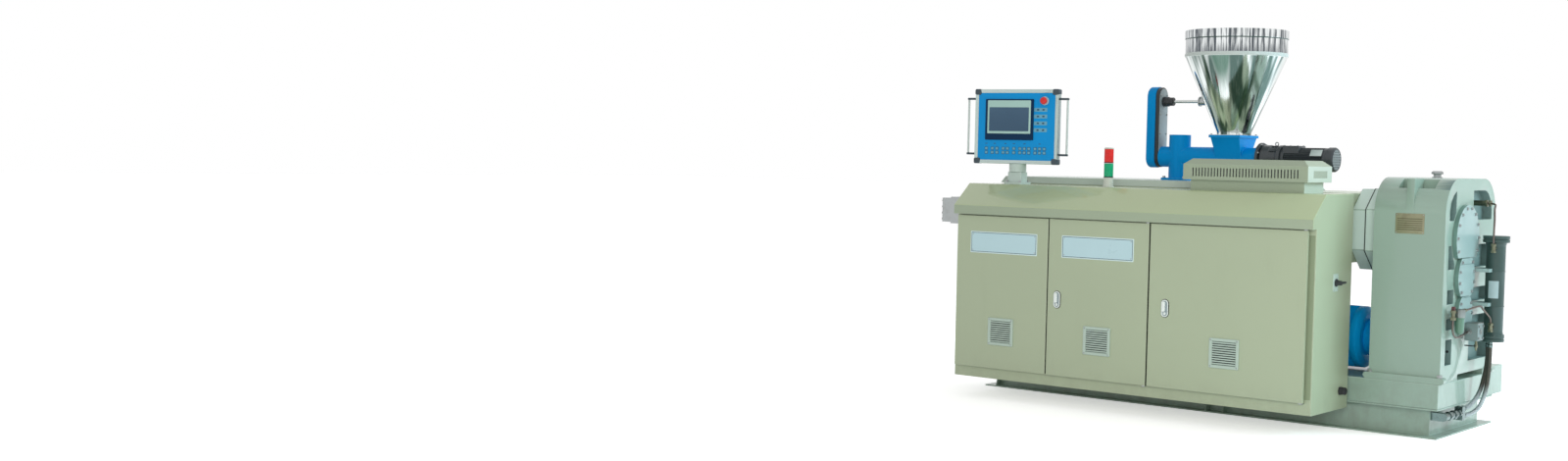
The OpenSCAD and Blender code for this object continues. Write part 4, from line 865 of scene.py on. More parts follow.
def base_and_plinth():
    """Painted channel base, plinth and tank with rounded steel edges; bolts that hold the gearbox down."""
    edges = {"base_long_rails": 2.0, "base_end_rails": 2.0, "base_stiffeners": 1.5,
             "plinth": 4.0, "oil_tank": 4.0, "barrel_leg": 4.0}
    for node, width in edges.items():
        # Edges take the lighter green: chipped wear and a painted highlight.
        rounded(node, [GREEN, GREEN_EDGE_WEAR_AND_HIGHLIGHT], width * MM, edge=1)
    lo, hi = low("gearbox_housing"), high("gearbox_housing")
    foot, in_x, in_y = 32 * MM, 30 * MM, 22 * MM
    centre = np.array([*middle("gearbox_housing")[:2], lo[2] + foot])
    half = (hi - lo) / 2
    spots = four_corners(centre, X * (half[0] - in_x), Y * (half[1] - in_y))
    shell = bolt_heads(Shell(), facing_up(spots), 24 * MM, 14 * MM)
    piece("gearbox_foot_bolts", shell, STEEL)


def gearbox_casting():
    """Cast housing with softened edges and its pockets in a darker green as painted shade, and the two halves
    of the lantern in a lighter green as painted light.
    """
    pocket_deep, pocket_mid, near = 60 * MM, 22 * MM, 8 * MM

    # Faces in the pockets take the darker green: painted shade.
    def in_shaded_pocket(middles, directions):
        under = GEARBOX_END - middles[:, 0]
        sunk = (under > 2 * MM) & (under < pocket_deep)
        return sunk & ((directions[:, 0] > 0.9) | (abs(under - pocket_mid) < near))

    rounded("gearbox_housing", [GREEN, GREEN_PAINTED_SHADE], 3.0 * MM, angle=50, mark=in_shaded_pocket)
    # The lantern's halves take a lighter green as painted light.
    for node in ("lantern_gear_half", "lantern_barrel_half"):
        rounded(node, [GREEN_LANTERN_PAINTED_LIGHT, GREEN_EDGE_WEAR_AND_HIGHLIGHT], 4.0 * MM, edge=1)


def gearbox_covers():
    """Bearing covers, three discs that run into each other: rims in a darker paint as painted shade, a ring
    of screws on each that stops short of the next disc, and a dark strip of painted shade along the chord in
    which two discs meet."""
    node = "gearbox_covers"

    def on_shaded_rim(middles, directions):
        return directions[:, 0] < 0.7

    rounded(node, [COVER_PAINT, COVER_RIM_PAINTED_SHADE], 1.5 * MM, mark=on_shaded_rim)
    face, centre_y, top = high(node)[0], middle(node)[1], high(node)[2]
    discs = ((top - 166 * MM, 166 * MM, 14), (top - 363 * MM, 121 * MM, 12), (top - 548 * MM, 105 * MM, 10))
    screws = Shell()
    for disc_z, radius, count in discs:
        start = math.pi / 2 + math.pi / count
        spots = ring_of((face, centre_y, disc_z), radius - 15 * MM, count, Y, Z, start)
        keep = np.ones(len(spots), bool)
        for other_z, other_r, _ in discs:
            halfway = (disc_z + other_z) / 2
            if other_z < disc_z:
                keep &= spots[:, 2] > halfway - 2 * MM + (other_r - radius) * 0.3
            if other_z > disc_z:
                keep &= spots[:, 2] < halfway - 20 * MM
        cap_screws(screws, facing_right(spots[keep]), 7.5 * MM, 7 * MM)
    piece("cover_screws", screws, STEEL)
    # Thin dark strips of painted shade where the discs meet.
    seams = Shell()
    for (upper_z, upper_r, _), (lower_z, lower_r, _) in zip(discs, discs[1:]):
        apart = upper_z - lower_z
        drop = (upper_r ** 2 - lower_r ** 2 + apart ** 2) / (2 * apart)
        half = math.sqrt(upper_r ** 2 - drop ** 2)
        put = facing_right(np.array([face - 0.4 * MM, centre_y, upper_z - drop]))
        seams.plate(put, 2 * half, 3 * MM, 1 * MM, 0.8 * MM)
    piece("cover_seam_shade", seams, GREEN_PAINTED_SHADE)


def pocket_hole_shade():
    """Oil holes in the side walls of two pockets: shallow wells painted dark as painted shade."""
    wall_y, upper_z, lower_z, radius = -0.062, 0.883, 0.424, 7 * MM
    spots = np.array([[GEARBOX_END - 17 * MM, wall_y, upper_z], [GEARBOX_END - 20 * MM, wall_y, lower_z]])
    well = [(-0.5 * MM, radius), (0.6 * MM, radius), (0.6 * MM, 1 * MM)]
    holes = Shell().turn(facing_front(spots), well, 24)
    piece("pocket_hole_shade", holes, PAINTED_SHADE_IN_OPENINGS)


def lantern_gasket():
    """Thin octagonal gasket between the lantern's halves, a hair larger than they are."""
    lo, hi = low("lantern_gear_half"), high("lantern_gear_half")
    half_y, half_z = (hi[1:] - lo[1:]) / 2 + 0.5 * MM
    flat_y, flat_z = half_y - 122 * MM, half_z - 105 * MM
    octagon = np.array([(half_y, -flat_z), (half_y, flat_z), (flat_y, half_z), (-flat_y, half_z),
                        (-half_y, flat_z), (-half_y, -flat_z), (-flat_y, -half_z), (flat_y, -half_z)])
    spot = np.array([lo[0] - 2 * MM, *(lo[1:] + hi[1:]) / 2])
    gasket = Shell().add(facing_right(spot)(prism(octagon, 4 * MM)))
    piece("lantern_gasket", gasket, RUBBER)


def gearbox_plate():
    """Aged brass plate with plain rows and a rivet at each corner; no lettering."""
    thick = 1.6 * MM
    plate = Shell().plate(facing_front(GEARBOX_PLATE), 145 * MM, 101 * MM, 4 * MM, thick, 0.6 * MM)
    rows = GEARBOX_PLATE + np.outer(np.linspace(-30, 24, 6) * MM, Z) - Y * thick
    plate.plate(facing_front(rows), 126 * MM, 5 * MM, 2 * MM, 0.3 * MM, finish=1)
    corners = four_corners(GEARBOX_PLATE - Y * thick, X * 66 * MM, Z * 44 * MM)
    rivets(plate, facing_front(corners), 2.6 * MM, 1.6 * MM, 2)
    piece("gearbox_bare_plate", plate, [BRASS_PLATE, BRASS_ROW, STEEL])


def breather():
    """Breather: one turned profile of flange, neck and cap, in shares of its height and radius."""
    lo, hi = low("gearbox_breather"), high("gearbox_breather")
    spot = np.array([*middle("gearbox_breather")[:2], lo[2]])
    size = [hi[2] - lo[2], (hi[0] - lo[0]) / 2]
    shares = [(0, 0.9), (0.14, 0.9), (0.14, 0.66), (0.54, 0.66), (0.54, 1), (0.84, 1), (1, 0.76), (1, 0.2)]
    cap = Shell().turn(facing_up(spot), eased(np.array(shares) * size, 1.5 * MM), 40)
    piece("breather_cap", cap, STEEL, nodes=("gearbox_breather",))


base_and_plinth()
gearbox_casting()
gearbox_covers()
pocket_hole_shade()
lantern_gasket()
gearbox_plate()
breather()


# Cabinet

HOOD_CREASE, HOOD_EDGE = 1.079, -0.589
DOOR_Y = low("door_middle")[1]
LEFT_PLATE = np.array([-0.713, DOOR_Y, 0.875])
MIDDLE_PLATE = np.array([-0.126, DOOR_Y, 0.8765])


def vent_slot_shade():
    """Dark plates of painted shade that lie in the vent cover's slots, in front and on its right end."""
    lo, hi = low("vent_cover"), high("vent_cover")
    slots, rows, deep, side = 34, 14, 8 * MM, 46 * MM
    wall, tall, thick = 55 * MM, 80 * MM, 1.2 * MM
    level = lo[2] + wall + tall / 2
    pitch = (hi[0] - lo[0] - 2 * side) / slots
    along = lo[0] + side + (np.arange(slots) + 0.5) * pitch
    spots = np.column_stack([along, np.full(slots, lo[1] + deep), np.full(slots, level)])
    shell = Shell().plate(facing_front(spots), 8 * MM, tall - 36 * MM, 0.5 * MM, thick)
    across = lo[1] + 75 * MM + 12 * MM * np.arange(rows)
    spots = np.column_stack([np.full(rows, hi[0] - deep), across, np.full(rows, level)])
    shell.plate(facing_right(spots), 6 * MM, tall - 44 * MM, 0.5 * MM, thick)
    piece("vent_slot_shade", shell, PAINTED_SHADE_IN_OPENINGS)


def on_right_end(middles, directions):
    """Finish 1 on the faces that look along the machine to the gearbox, 0 on the rest."""
    return directions[:, 0] > 0.7


def shaded_behind_doors(middles, directions):
    """Finish 1, painted shade, on the posts' fronts behind the seams; finish 3, a darker khaki as painted
    shade, on the right post's front; 0 on the rest.
    """
    front = directions[:, 1] < -0.7
    return np.where(middles[:, 0] > 0.9, 3 * front, 1 * front * (middles[:, 0] > -0.9))


def cabinet():
    """Folded sheet cabinet: every sheet keeps the CAD's form with its folds rounded, the folds in a lighter
    khaki that is chipped wear and a painted highlight. The left panel's and the middle door's right-facing
    faces and the posts' fronts behind the seams are dark as painted shade."""
    paint_and_fold = [KHAKI, KHAKI_FOLD_WEAR_AND_HIGHLIGHT]
    seam_shaded = [KHAKI, SEAM_PAINTED_SHADE, KHAKI_FOLD_WEAR_AND_HIGHLIGHT]
    for node, width in (("cabinet_ends", 0.8), ("cabinet_rails", 1.2), ("cabinet_back", 1.0),
                        ("cabinet_floor", 0.8), ("barrel_cover", 4.0)):
        rounded(node, paint_and_fold, width * MM, edge=1)
    rounded("door_right", paint_and_fold, 2.5 * MM, "right_door", edge=1)
    for node, body in (("left_panel", "machine"), ("door_middle", "middle_door")):
        rounded(node, seam_shaded, 2.5 * MM, body, mark=on_right_end, edge=2)
    posts = seam_shaded + [KHAKI_MARGIN_PAINTED_SHADE]
    rounded("cabinet_posts", posts, 1.0 * MM, mark=shaded_behind_doors, edge=2)
    # The vent cover's right end takes a lighter khaki as painted light.
    cover = [KHAKI_SHADE, KHAKI_VENT_END_PAINTED_LIGHT, KHAKI_FOLD_WEAR_AND_HIGHLIGHT]
    rounded("vent_cover", cover, 1.5 * MM, mark=on_right_end, edge=2)
    rounded("barrel_lid", LID_GREY, 3.0 * MM)
    refinish("cabinet_brackets", GREEN)
    refinish("hinge_pins", STEEL)


def hood():
    """Hood bent from one sheet: the outer and inner lines of its section, with eased folds, carried along.
    Its front lip takes a darker copy of the khaki as painted shade.
    """
    lo, hi = low("cabinet_hood"), high("cabinet_hood")
    sheet = 4 * MM
    outer = [(lo[1], lo[2]), (lo[1], HOOD_CREASE), (HOOD_EDGE, hi[2]), (hi[1], hi[2])]
    inner = [(lo[1] + sheet, lo[2]), (lo[1] + sheet, HOOD_CREASE - 2 * MM),
             (HOOD_EDGE + 1 * MM, hi[2] - sheet), (hi[1], hi[2] - sheet)]
    outline = np.concatenate([eased(outer, 7 * MM, 5), eased(inner, 4 * MM, 5)[::-1]])[::-1]
    shell = Shell().add(facing_right(X * lo[0])(prism(outline, hi[0] - lo[0], 0.6 * MM, 0.6 * MM)))
    finishes = [KHAKI_HOOD, KHAKI_LIP_PAINTED_SHADE]
    made = piece("hood_folded", shell, finishes, nodes=("cabinet_hood",), crease=25)

    # Lip faces take the darker khaki: painted shade.
    def on_shaded_lip(middles, directions):
        return (directions[:, 1] < -0.9) & (middles[:, 1] < lo[1] + 1 * MM)

    choose(made.data, on_shaded_lip)


def bare_nameplate(name, centre, width, height, body):
    """Enamelled plate: a pale rim, a thin border line inside it, and a rivet at each corner; no lettering."""
    thick, inside, border, line_w, rivet_in = 1.8 * MM, 16 * MM, 12 * MM, 3 * MM, 16 * MM
    put = facing_front(centre)
    shell = Shell().plate(put, width, height, 3 * MM, thick, 0.7 * MM, finish=3)
    shell.plate(put, width - inside, height - inside, 2 * MM, 2.0 * MM)
    line = rounded_rectangle(width - border, height - border, 3 * MM)
    profile = [(0, 1.7 * MM), (0, 2.1 * MM), (line_w, 2.1 * MM), (line_w, 1.7 * MM)]
    shell.add(put(rim(line, profile)), 1, loop=True)
    spots = four_corners(centre - Y * thick, X * (width / 2 - rivet_in), Z * (height / 2 - rivet_in))
    rivets(shell, facing_front(spots), 3.2 * MM, 1.8 * MM, 2)
    piece(name, shell, [LABEL, LABEL_LINE, STEEL, LABEL_RIM], body)


def front_fitting(node):
    """Middle of the back of a fitting on the front, then its width, height and depth."""
    lo, hi = low(node), high(node)
    centre = (lo + hi) / 2
    centre[1] = hi[1]
    width, proud, height = hi - lo
    return centre, width, height, proud


def louvre_vent(name, node, body):
    """Moulded vent: a rounded frame, and slanted blades whose section is a leaning bar, over a dark back
    plate of painted shade.
    """
    centre, width, height, proud = front_fitting(node)
    put = facing_front(centre)
    border, blades, screw_in = 17 * MM, 10, 8.5 * MM
    profile = [(0, 0), (0, proud * 0.7), (3 * MM, proud), (border - 3 * MM, proud), (border, proud * 0.55),
               (border, 0)]
    outline = rounded_rectangle(width, height, 5 * MM)
    shell = Shell().add(put(rim(outline, eased(profile, 1.2 * MM))), 0, loop=True)
    shell.plate(put, width - 2 * border + 4 * MM, height - 2 * border + 4 * MM, 3 * MM, 1.0 * MM, finish=1)
    pitch = (height - 2 * border) / blades
    leaning = np.array([[-0.33, 0.10], [0.22, 0.10], [0.33, 0.80], [0.12, 0.92], [-0.23, 0.80]])
    section = leaning * [pitch, proud]
    end = width / 2 - border + 1 * MM
    blade = np.stack([np.column_stack([np.full(len(section), side * end), section]) for side in (-1, 1)])
    rows = centre + np.outer((np.arange(blades) - (blades - 1) / 2) * pitch, Z)
    shell.add(facing_front(rows)(blade), 0)
    corners = four_corners(centre - Y * proud, X * (width / 2 - screw_in), Z * (height / 2 - screw_in))
    rivets(shell, facing_front(corners), 3.4 * MM, 1.2 * MM, 2)
    piece(name, shell, [VENT_GREY, PAINTED_SHADE_IN_OPENINGS, STEEL], body, (node,))


def swing_latch(name, node, body):
    """Enamelled latch on a black rubber ring drawn 3 mm wider all round than the cup, partly a gasket and
    partly
    painted shade: a long oval cup with a rolled rim, a swing grip in it, and a round key barrel below whose
    key slot is dark as painted shade."""
    centre, width, height, proud = front_fitting(node)
    put = facing_front(centre)
    outline = rounded_rectangle(width, height, width / 2 - 0.2 * MM, 8)
    # The dark ring round the cup is a rubber gasket drawn wide, so that it also serves as painted shade.
    seal_with_shade = rounded_rectangle(width + 6 * MM, height + 6 * MM, width / 2 + 2.8 * MM, 8)
    shell = Shell().add(put(prism(seal_with_shade, 1.2 * MM, 0.4 * MM)), 2)
    shell.add(put(prism(outline, proud * 0.3)), 3)
    roll = [(0, 0), (0, proud * 0.45), (2.2 * MM, proud * 0.62), (5 * MM, proud * 0.5), (6 * MM, proud * 0.2),
            (6 * MM, 0)]
    shell.add(put(rim(outline, eased(roll, 1.5 * MM))), 0, loop=True)
    grip = rounded_rectangle(width * 0.42, height * 0.6, width * 0.2, 6)
    lift = centre + Z * height * 0.1 - X * width * 0.14
    shell.add(facing_front(lift)(prism(grip, proud, 3.5 * MM, 0, 5)), 0)
    key = centre - Z * height * 0.3
    barrel = [(0, 7.5 * MM), (proud * 0.62, 7.5 * MM), (proud * 0.62, 2 * MM)]
    shell.turn(facing_front(key), eased(barrel, 1 * MM), 28)
    # Dark key slot: painted shade.
    shell.plate(facing_front(key - Y * proud * 0.6), 1.6 * MM, 7 * MM, 0.6 * MM, 0.6 * MM, finish=1)
    piece(name, shell, [LATCH_WHITE, PAINTED_SHADE_IN_OPENINGS, RUBBER, PLATE_GREY], body, (node,))


def main_switch():
    """Switch plate with an eased rim and screws, a round hub, and a lever that tapers to a rounded end."""
    lo, hi = low("switch_plate"), high("switch_plate")
    centre = np.array([lo[0], *middle("switch_plate")[1:]])
    _, plate_w, plate_h = hi - lo
    thick = 4 * MM
    shell = Shell().plate(facing_right(centre), plate_w, plate_h, 4 * MM, thick, 1.2 * MM)
    shell.turn(facing_right(centre + X * thick), [(0, 6 * MM), (19 * MM, 6 * MM)], 24, 1)
    spots = four_corners(centre + X * thick, Y * 23 * MM, Z * 37 * MM)
    rivets(shell, facing_right(spots), 3.4 * MM, 1.6 * MM, 2)
    finishes = [VENT_GREY, BLACK_PLASTIC, STEEL]
    piece("switch_plate_with_screws", shell, finishes, nodes=("switch_plate",))
    lo, hi = low("switch_lever"), high("switch_lever")
    hub = np.array([lo[0], centre[1], centre[2]])
    deep, reach, bore, bar = hi[0] - lo[0], hi[1] - centre[1], 6.3 * MM, 14 * MM
    ring = [(0, bore), (0, 20 * MM), (deep * 0.16, 20 * MM), (deep * 0.22, 13 * MM), (deep, 11 * MM),
            (deep, 2 * MM), (deep * 0.7, 2 * MM), (deep * 0.7, bore)]
    lever = Shell().turn(facing_right(hub), eased(ring, 1.2 * MM), 40, loop=True)
    arm = rounded_rectangle(reach, bar, 6.5 * MM, 6)
    arm[:, 1] *= 1 - 0.25 * (arm[:, 0] / reach + 0.5)
    mid = hub + X * (deep - bar) + Y * (reach / 2)
    lever.add(facing_right(mid)(prism(arm, bar, 3 * MM, 2 * MM)), 0)
    piece("switch_lever_moulded", lever, BLACK_PLASTIC, "main_switch", ("switch_lever",))


def cable_gland():
    """Gland: a six-sided nut, a knurled dome nut and the rubber plug that closes it."""
    lo, hi = low("cable_gland"), high("cable_gland")
    centre = np.array([lo[0], *middle("cable_gland")[1:]])
    deep, wide, nut = hi[0] - lo[0], (hi[1] - lo[1]) / 2, 10 * MM
    shell = Shell().hexagon(facing_right(centre), wide, nut, 1.5 * MM)
    dome = ribbed_circle(wide * 0.84, 0.9 * MM, 28, 1.0, 4)
    shell.add(facing_right(centre + X * nut)(prism(dome, deep - 12 * MM, 5 * MM, 0, 4)), 0)
    plug = [(0, wide * 0.5), (2 * MM, wide * 0.5), (2 * MM, wide * 0.05)]
    shell.turn(facing_right(centre + X * (deep - 2.2 * MM)), eased(plug, 1 * MM), 24, 1)
    piece("gland_nuts", shell, [BLACK_PLASTIC, RUBBER], nodes=("cable_gland",))


def stack_light():
    """Stack light: a flanged foot, two lenses with upright ribs, a black ring under each, and a low cap."""
    spot = np.array([*middle("stack_light")[:2], low("stack_light")[2]])
    radius, foot, lens, ring_h, gap = 25 * MM, 52 * MM, 77 * MM, 5 * MM, 0.4 * MM
    flange, sleeve, collar = radius + 8 * MM, radius + 1 * MM, radius + 0.6 * MM
    body = Shell()
    profile = [(0, flange), (5 * MM, flange), (6.5 * MM, sleeve), (foot, sleeve), (foot, radius * 0.4)]
    body.turn(facing_up(spot), eased(profile, 1.6 * MM), 48)
    ring = eased([(0, radius * 0.5), (0, collar), (ring_h, collar), (ring_h, radius * 0.5)], 0.6 * MM)
    for level in (foot, foot + lens + gap):
        body.turn(facing_up(spot + Z * level), ring, 48, 1)
    cap = [(0, radius * 0.5), (0, radius), (5 * MM, radius), (8 * MM, radius * 0.82), (8 * MM, radius * 0.1)]
    body.turn(facing_up(spot + Z * (foot + 2 * lens - 0.8 * MM)), eased(cap, 1.5 * MM), 48)
    finishes = [LAMP_GREY, BLACK_PLASTIC]
    piece("stack_light_foot_and_cap", body, finishes, nodes=("stack_light",))
    outline = ribbed_circle(radius - 0.4 * MM, 1.1 * MM, 36, 1.0, 4)
    for name, finish, level in (("green_lens_ribbed", LENS_GREEN, foot + ring_h),
                                ("red_lens_ribbed", LENS_RED, foot + lens + gap + ring_h)):
        put = facing_up(spot + Z * level)
        shell = Shell().add(put(prism(outline, lens - 6 * MM, 1.5 * MM, 1.5 * MM)))
        piece(name, shell, finish, nodes=("stack_light",), crease=60)


vent_slot_shade()
cabinet()
hood()
bare_nameplate("left_bare_plate", LEFT_PLATE, 432 * MM, 120 * MM, "machine")
bare_nameplate("middle_bare_plate", MIDDLE_PLATE, 434 * MM, 121 * MM, "middle_door")
louvre_vent("left_vent_louvres", "left_vent", "machine")
louvre_vent("middle_vent_louvres", "middle_vent", "middle_door")
louvre_vent("right_vent_louvres", "right_vent", "right_door")
swing_latch("middle_latch_plated", "middle_latch", "middle_door")
swing_latch("right_latch_plated", "right_latch", "right_door")
main_switch()
cable_gland()
stack_light()


# Control panel, in its own turned place

PANEL_AXIS = np.array([-0.769, -0.507, 0.0])
PANEL_TURN = math.radians(10)
PANEL_X = X * math.cos(PANEL_TURN) + Y * math.sin(PANEL_TURN)
PANEL_Y = -X * math.sin(PANEL_TURN) + Y * math.cos(PANEL_TURN)
BOX_W, BOX_H, BOX_Z = 0.500, 0.417, 1.314
BOX_MID = BOX_Z + BOX_H / 2
FRAME_BACK, CASE_BACK, FRAME_T, CASE_IN = 0.0, 0.045, 0.045, 0.044
GRIP_OUT, GRIP_Y = 0.296, FRAME_BACK - FRAME_T / 2
FACE_Y = -0.041
POST_W, POST_D = 0.090, 0.070
SCREEN_LOW, SCREEN_HIGH = np.array([-0.184, 1.447]), np.array([0.104, 1.676])
STOP_SPOT = (0.168, 1.667)
SIDE_KEY_X, SIDE_MARKS = 0.145, (0.129, 0.1615)
SIDE_LEVELS = (1.617, 1.580, 1.542, 1.504)
LOW_COLUMNS = (-0.1765, -0.140, -0.112, -0.074, -0.049, -0.0095, 0.027, 0.0536, 0.080, 0.1174, 0.144, 0.1713)
LOW_LEVELS = (1.3993, 1.377)
HEAD_COLUMNS, HEAD_LEVEL = (-0.1765, -0.126, -0.0615, -0.0095, 0.0536, 0.144), 1.4266


def on_panel(across, into, height):
    """Point of the panel: across its face, into it, and above the floor."""
    return PANEL_AXIS + PANEL_X * across + PANEL_Y * into + Z * height


def panel_front(across, height, into=FACE_Y):
    """Place on the panel's face, facing the operator."""
    return place(on_panel(across, into, height), PANEL_X, Z)


def panel_fronts(spots, into=FACE_Y):
    """Places on the panel's face for several copies."""
    points = np.array([on_panel(across, into, height) for across, height in spots])
    return place(points, PANEL_X, Z)


def panel_post():
    """Square post with eased edges on a bolted foot plate, and the swivel pin at its top."""
    lo, hi = low("panel_post"), high("panel_post")
    spot = np.array([*middle("panel_post")[:2], lo[2]])
    foot, pin_r = 12 * MM, 15 * MM
    shell = Shell().plate(facing_up(spot), hi[0] - lo[0], hi[1] - lo[1], 6 * MM, foot, 2 * MM)
    foot_top = spot + Z * foot
    bolt_heads(shell, facing_up(four_corners(foot_top, X * 42 * MM, Y * 42 * MM)), 13 * MM, 8 * MM, 1)
    tall = BOX_Z - 46 * MM - foot_top[2]
    shell.plate(facing_up(foot_top), POST_W, POST_D, 8 * MM, tall, 1.5 * MM)
    pin = [(0, pin_r), (28 * MM, pin_r), (30 * MM, 13 * MM), (30 * MM, 1 * MM)]
    shell.turn(facing_up(foot_top + Z * tall), eased(pin, 1 * MM), 32, 1)
    piece("panel_post_painted", shell, [POST_PAINT, STEEL], nodes=("panel_post",))


def panel_case():
    """Drawn aluminium front frame with a stepped lip round the face, and the case behind it with slots in its
    back, which are dark plates of painted shade; the swivel collar below; dark caps on the corners."""
    lip, deep = 21 * MM, FRAME_T
    profile = [(lip + 4 * MM, 0.0), (4 * MM, 0.0), (0, 4 * MM), (0, deep - 5 * MM), (3 * MM, deep),
               (9 * MM, deep), (11 * MM, deep - 2 * MM), (lip - 3 * MM, deep - 2 * MM), (lip, deep - 4 * MM),
               (lip, deep - 12 * MM), (lip + 4 * MM, deep - 12 * MM)]
    put = panel_front(0, BOX_MID, FRAME_BACK)
    outline = rounded_rectangle(BOX_W, BOX_H, 10 * MM, 5)
    shell = Shell().add(put(rim(outline, eased(profile, 1.2 * MM))), 0, loop=True)
    backing = 2 * lip - 4 * MM
    shell.plate(put, BOX_W - backing, BOX_H - backing, 4 * MM, deep - 14 * MM)
    case_w, case_h = BOX_W - 2 * CASE_IN, BOX_H - CASE_IN
    case_mid = BOX_Z + case_h / 2
    put = place(on_panel(0, FRAME_BACK - 2 * MM, case_mid), -PANEL_X, Z)
    shell.plate(put, case_w, case_h, 8 * MM, CASE_BACK - FRAME_BACK + 2 * MM, 4 * MM)
    for level in np.linspace(-0.12, 0.12, 7):
        slot = place(on_panel(0, CASE_BACK - 0.3 * MM, case_mid + level), -PANEL_X, Z)
        shell.plate(slot, 180 * MM, 6 * MM, 2.9 * MM, 0.6 * MM, finish=1)
    piece("panel_case", shell, [ALUMINIUM, PAINTED_SHADE_IN_OPENINGS], "control_panel", ("panel_box",))
    base = PANEL_AXIS + Z * low("panel_box")[2]
    tall, bore, collar_r = BOX_Z - base[2] + 0.5 * MM, 15.4 * MM, 48 * MM
    ring = eased([(0, bore), (0, collar_r), (tall, collar_r), (tall, bore)], 2 * MM)
    collar = Shell().turn(facing_up(base), ring, 56, loop=True)
    piece("panel_swivel_collar", collar, POST_PAINT, "control_panel", ("panel_box",))
    cap_w, cap_h, proud = 38 * MM, 33 * MM, 1.5 * MM
    corner = rounded_rectangle(cap_w, cap_h, 9 * MM, 5)
    across, up = (BOX_W - cap_w) / 2 + proud, (BOX_H - cap_h) / 2 + proud
    spots = four_corners(on_panel(0, FRAME_BACK + 1 * MM, BOX_MID), PANEL_X * across, Z * up)
    caps = Shell().add(place(spots, PANEL_X, Z)(prism(corner, FRAME_T + 2.5 * MM, 4 * MM, 3 * MM)))
    piece("panel_corner_caps", caps, CORNER_GREY, "control_panel")


def panel_plate(shell, corner, opposite, into, thick, finish):
    """Flat plate on the panel's face between two corners, with an eased rim."""
    width, height = opposite - corner
    put = panel_front(*(corner + opposite) / 2, into)
    shell.plate(put, width, height, 4 * MM, thick, thick * 0.3, finish=finish)


def panel_face():
    """Blue film face; a navy bezel, a pale inner frame and the glass, each a plate on the last; the keys; the
    stop button, a turned mushroom whose top is a quarter of an ellipse, on its collar."""
    lip, film = 42 * MM, 4 * MM
    put = panel_front(0, BOX_MID, FACE_Y + film)
    face = Shell().plate(put, BOX_W - lip, BOX_H - lip, 3 * MM, film, 0.5 * MM)
    piece("panel_face_film", face, PANEL_BLUE, "control_panel", ("panel_face",))
    bezel = Shell()
    frame_low, frame_high = SCREEN_LOW + np.array([14, 36]) * MM, SCREEN_HIGH - np.array([15, 7]) * MM
    glass_low, glass_high = frame_low + np.array([10, 13]) * MM, frame_high - np.array([11, 39]) * MM
    panel_plate(bezel, SCREEN_LOW, SCREEN_HIGH, FACE_Y, 8 * MM, 0)
    panel_plate(bezel, frame_low, frame_high, FACE_Y - 7 * MM, 2.2 * MM, 1)
    panel_plate(bezel, glass_low, glass_high, FACE_Y - 8 * MM, 2.0 * MM, 2)
    finishes = [PANEL_NAVY, PANEL_PALE, SCREEN]
    piece("panel_screen", bezel, finishes, "control_panel", ("panel_controls",))
    keys = Shell()
    strips = panel_fronts([(SIDE_KEY_X, level) for level in SIDE_LEVELS])
    keys.plate(strips, 78 * MM, 21 * MM, 3 * MM, 0.8 * MM, 0.3 * MM)
    marks = panel_fronts([(across, level) for level in SIDE_LEVELS for across in SIDE_MARKS])
    keys.plate(marks, 13 * MM, 9 * MM, 2 * MM, 1.8 * MM, 0.6 * MM, finish=1)
    low_keys = panel_fronts([(column, level) for column in LOW_COLUMNS for level in LOW_LEVELS])
    keys.plate(low_keys, 19 * MM, 17.5 * MM, 2.5 * MM, 1.2 * MM, 0.4 * MM, finish=1)
    keys.plate(low_keys, 14 * MM, 12.5 * MM, 2 * MM, 1.8 * MM, 0.6 * MM)
    heads = panel_fronts([(column, HEAD_LEVEL) for column in HEAD_COLUMNS])
    keys.plate(heads, 14 * MM, 4 * MM, 1 * MM, 0.5 * MM, 0.2 * MM, finish=1)
    piece("panel_keys", keys, [KEY_BLUE, KEY_DARK], "control_panel")
    collar = [(-0.5 * MM, 5 * MM), (-0.5 * MM, 24 * MM), (3 * MM, 24 * MM), (4 * MM, 14 * MM)]
    stop = Shell().turn(panel_front(*STOP_SPOT), eased(collar, 1 * MM), 40, 1)
    turn = np.linspace(0, math.pi / 2, 6)
    rise = np.concatenate([[3, 18, 19, 23], 23 + 9 * np.sin(turn)]) * MM
    radius = np.concatenate([[12, 12, 20, 20], 20 * np.maximum(np.cos(turn), 0.05)]) * MM
    stop.turn(panel_front(*STOP_SPOT), np.stack([rise, radius], -1), 40)
    piece("panel_stop_button", stop, [STOP_RED, STOP_COLLAR], "control_panel")


def panel_grips():
    """Round grip bars beside the panel, each held by a dark block at its top and bottom."""
    lo_z, hi_z = low("panel_grips")[2], high("panel_grips")[2]
    end, bend = 5 * MM, 40 * MM
    heights = (lo_z + end, lo_z + bend, (lo_z + hi_z) / 2, hi_z - bend, hi_z - end)
    bars, blocks = Shell(), Shell()
    for side in (-1, 1):
        points = np.array([on_panel(side * GRIP_OUT, GRIP_Y, height) for height in heights])
        bars.add(pipe(curve_through(points, 4), 6 * MM, 16, (1.0, 0.3, 0.0)))
        across = side * (GRIP_OUT + BOX_W / 2) / 2
        for level in (heights[0], heights[-1]):
            put = panel_front(across, level, GRIP_Y + 9 * MM)
            blocks.plate(put, GRIP_OUT - BOX_W / 2 + 14 * MM, 12 * MM, 4 * MM, 18 * MM, 2.5 * MM, 2.5 * MM)
    piece("panel_grip_bars", bars, GRIP_STEEL, "control_panel", ("panel_grips",))
    piece("panel_grip_brackets", blocks, CORNER_GREY, "control_panel", ("panel_grips",))


panel_post()
panel_case()
panel_face()
panel_grips()


# Hopper, feeder and its motor

SHAFT_Z = middle("stirrer_shaft")[2]
SHAFT_BORE = 9.3 * MM
FEEDER_Y = middle("feeder_guard")[1]
FEEDER_AXIS_Z = 1.372
PORT_X = -0.114


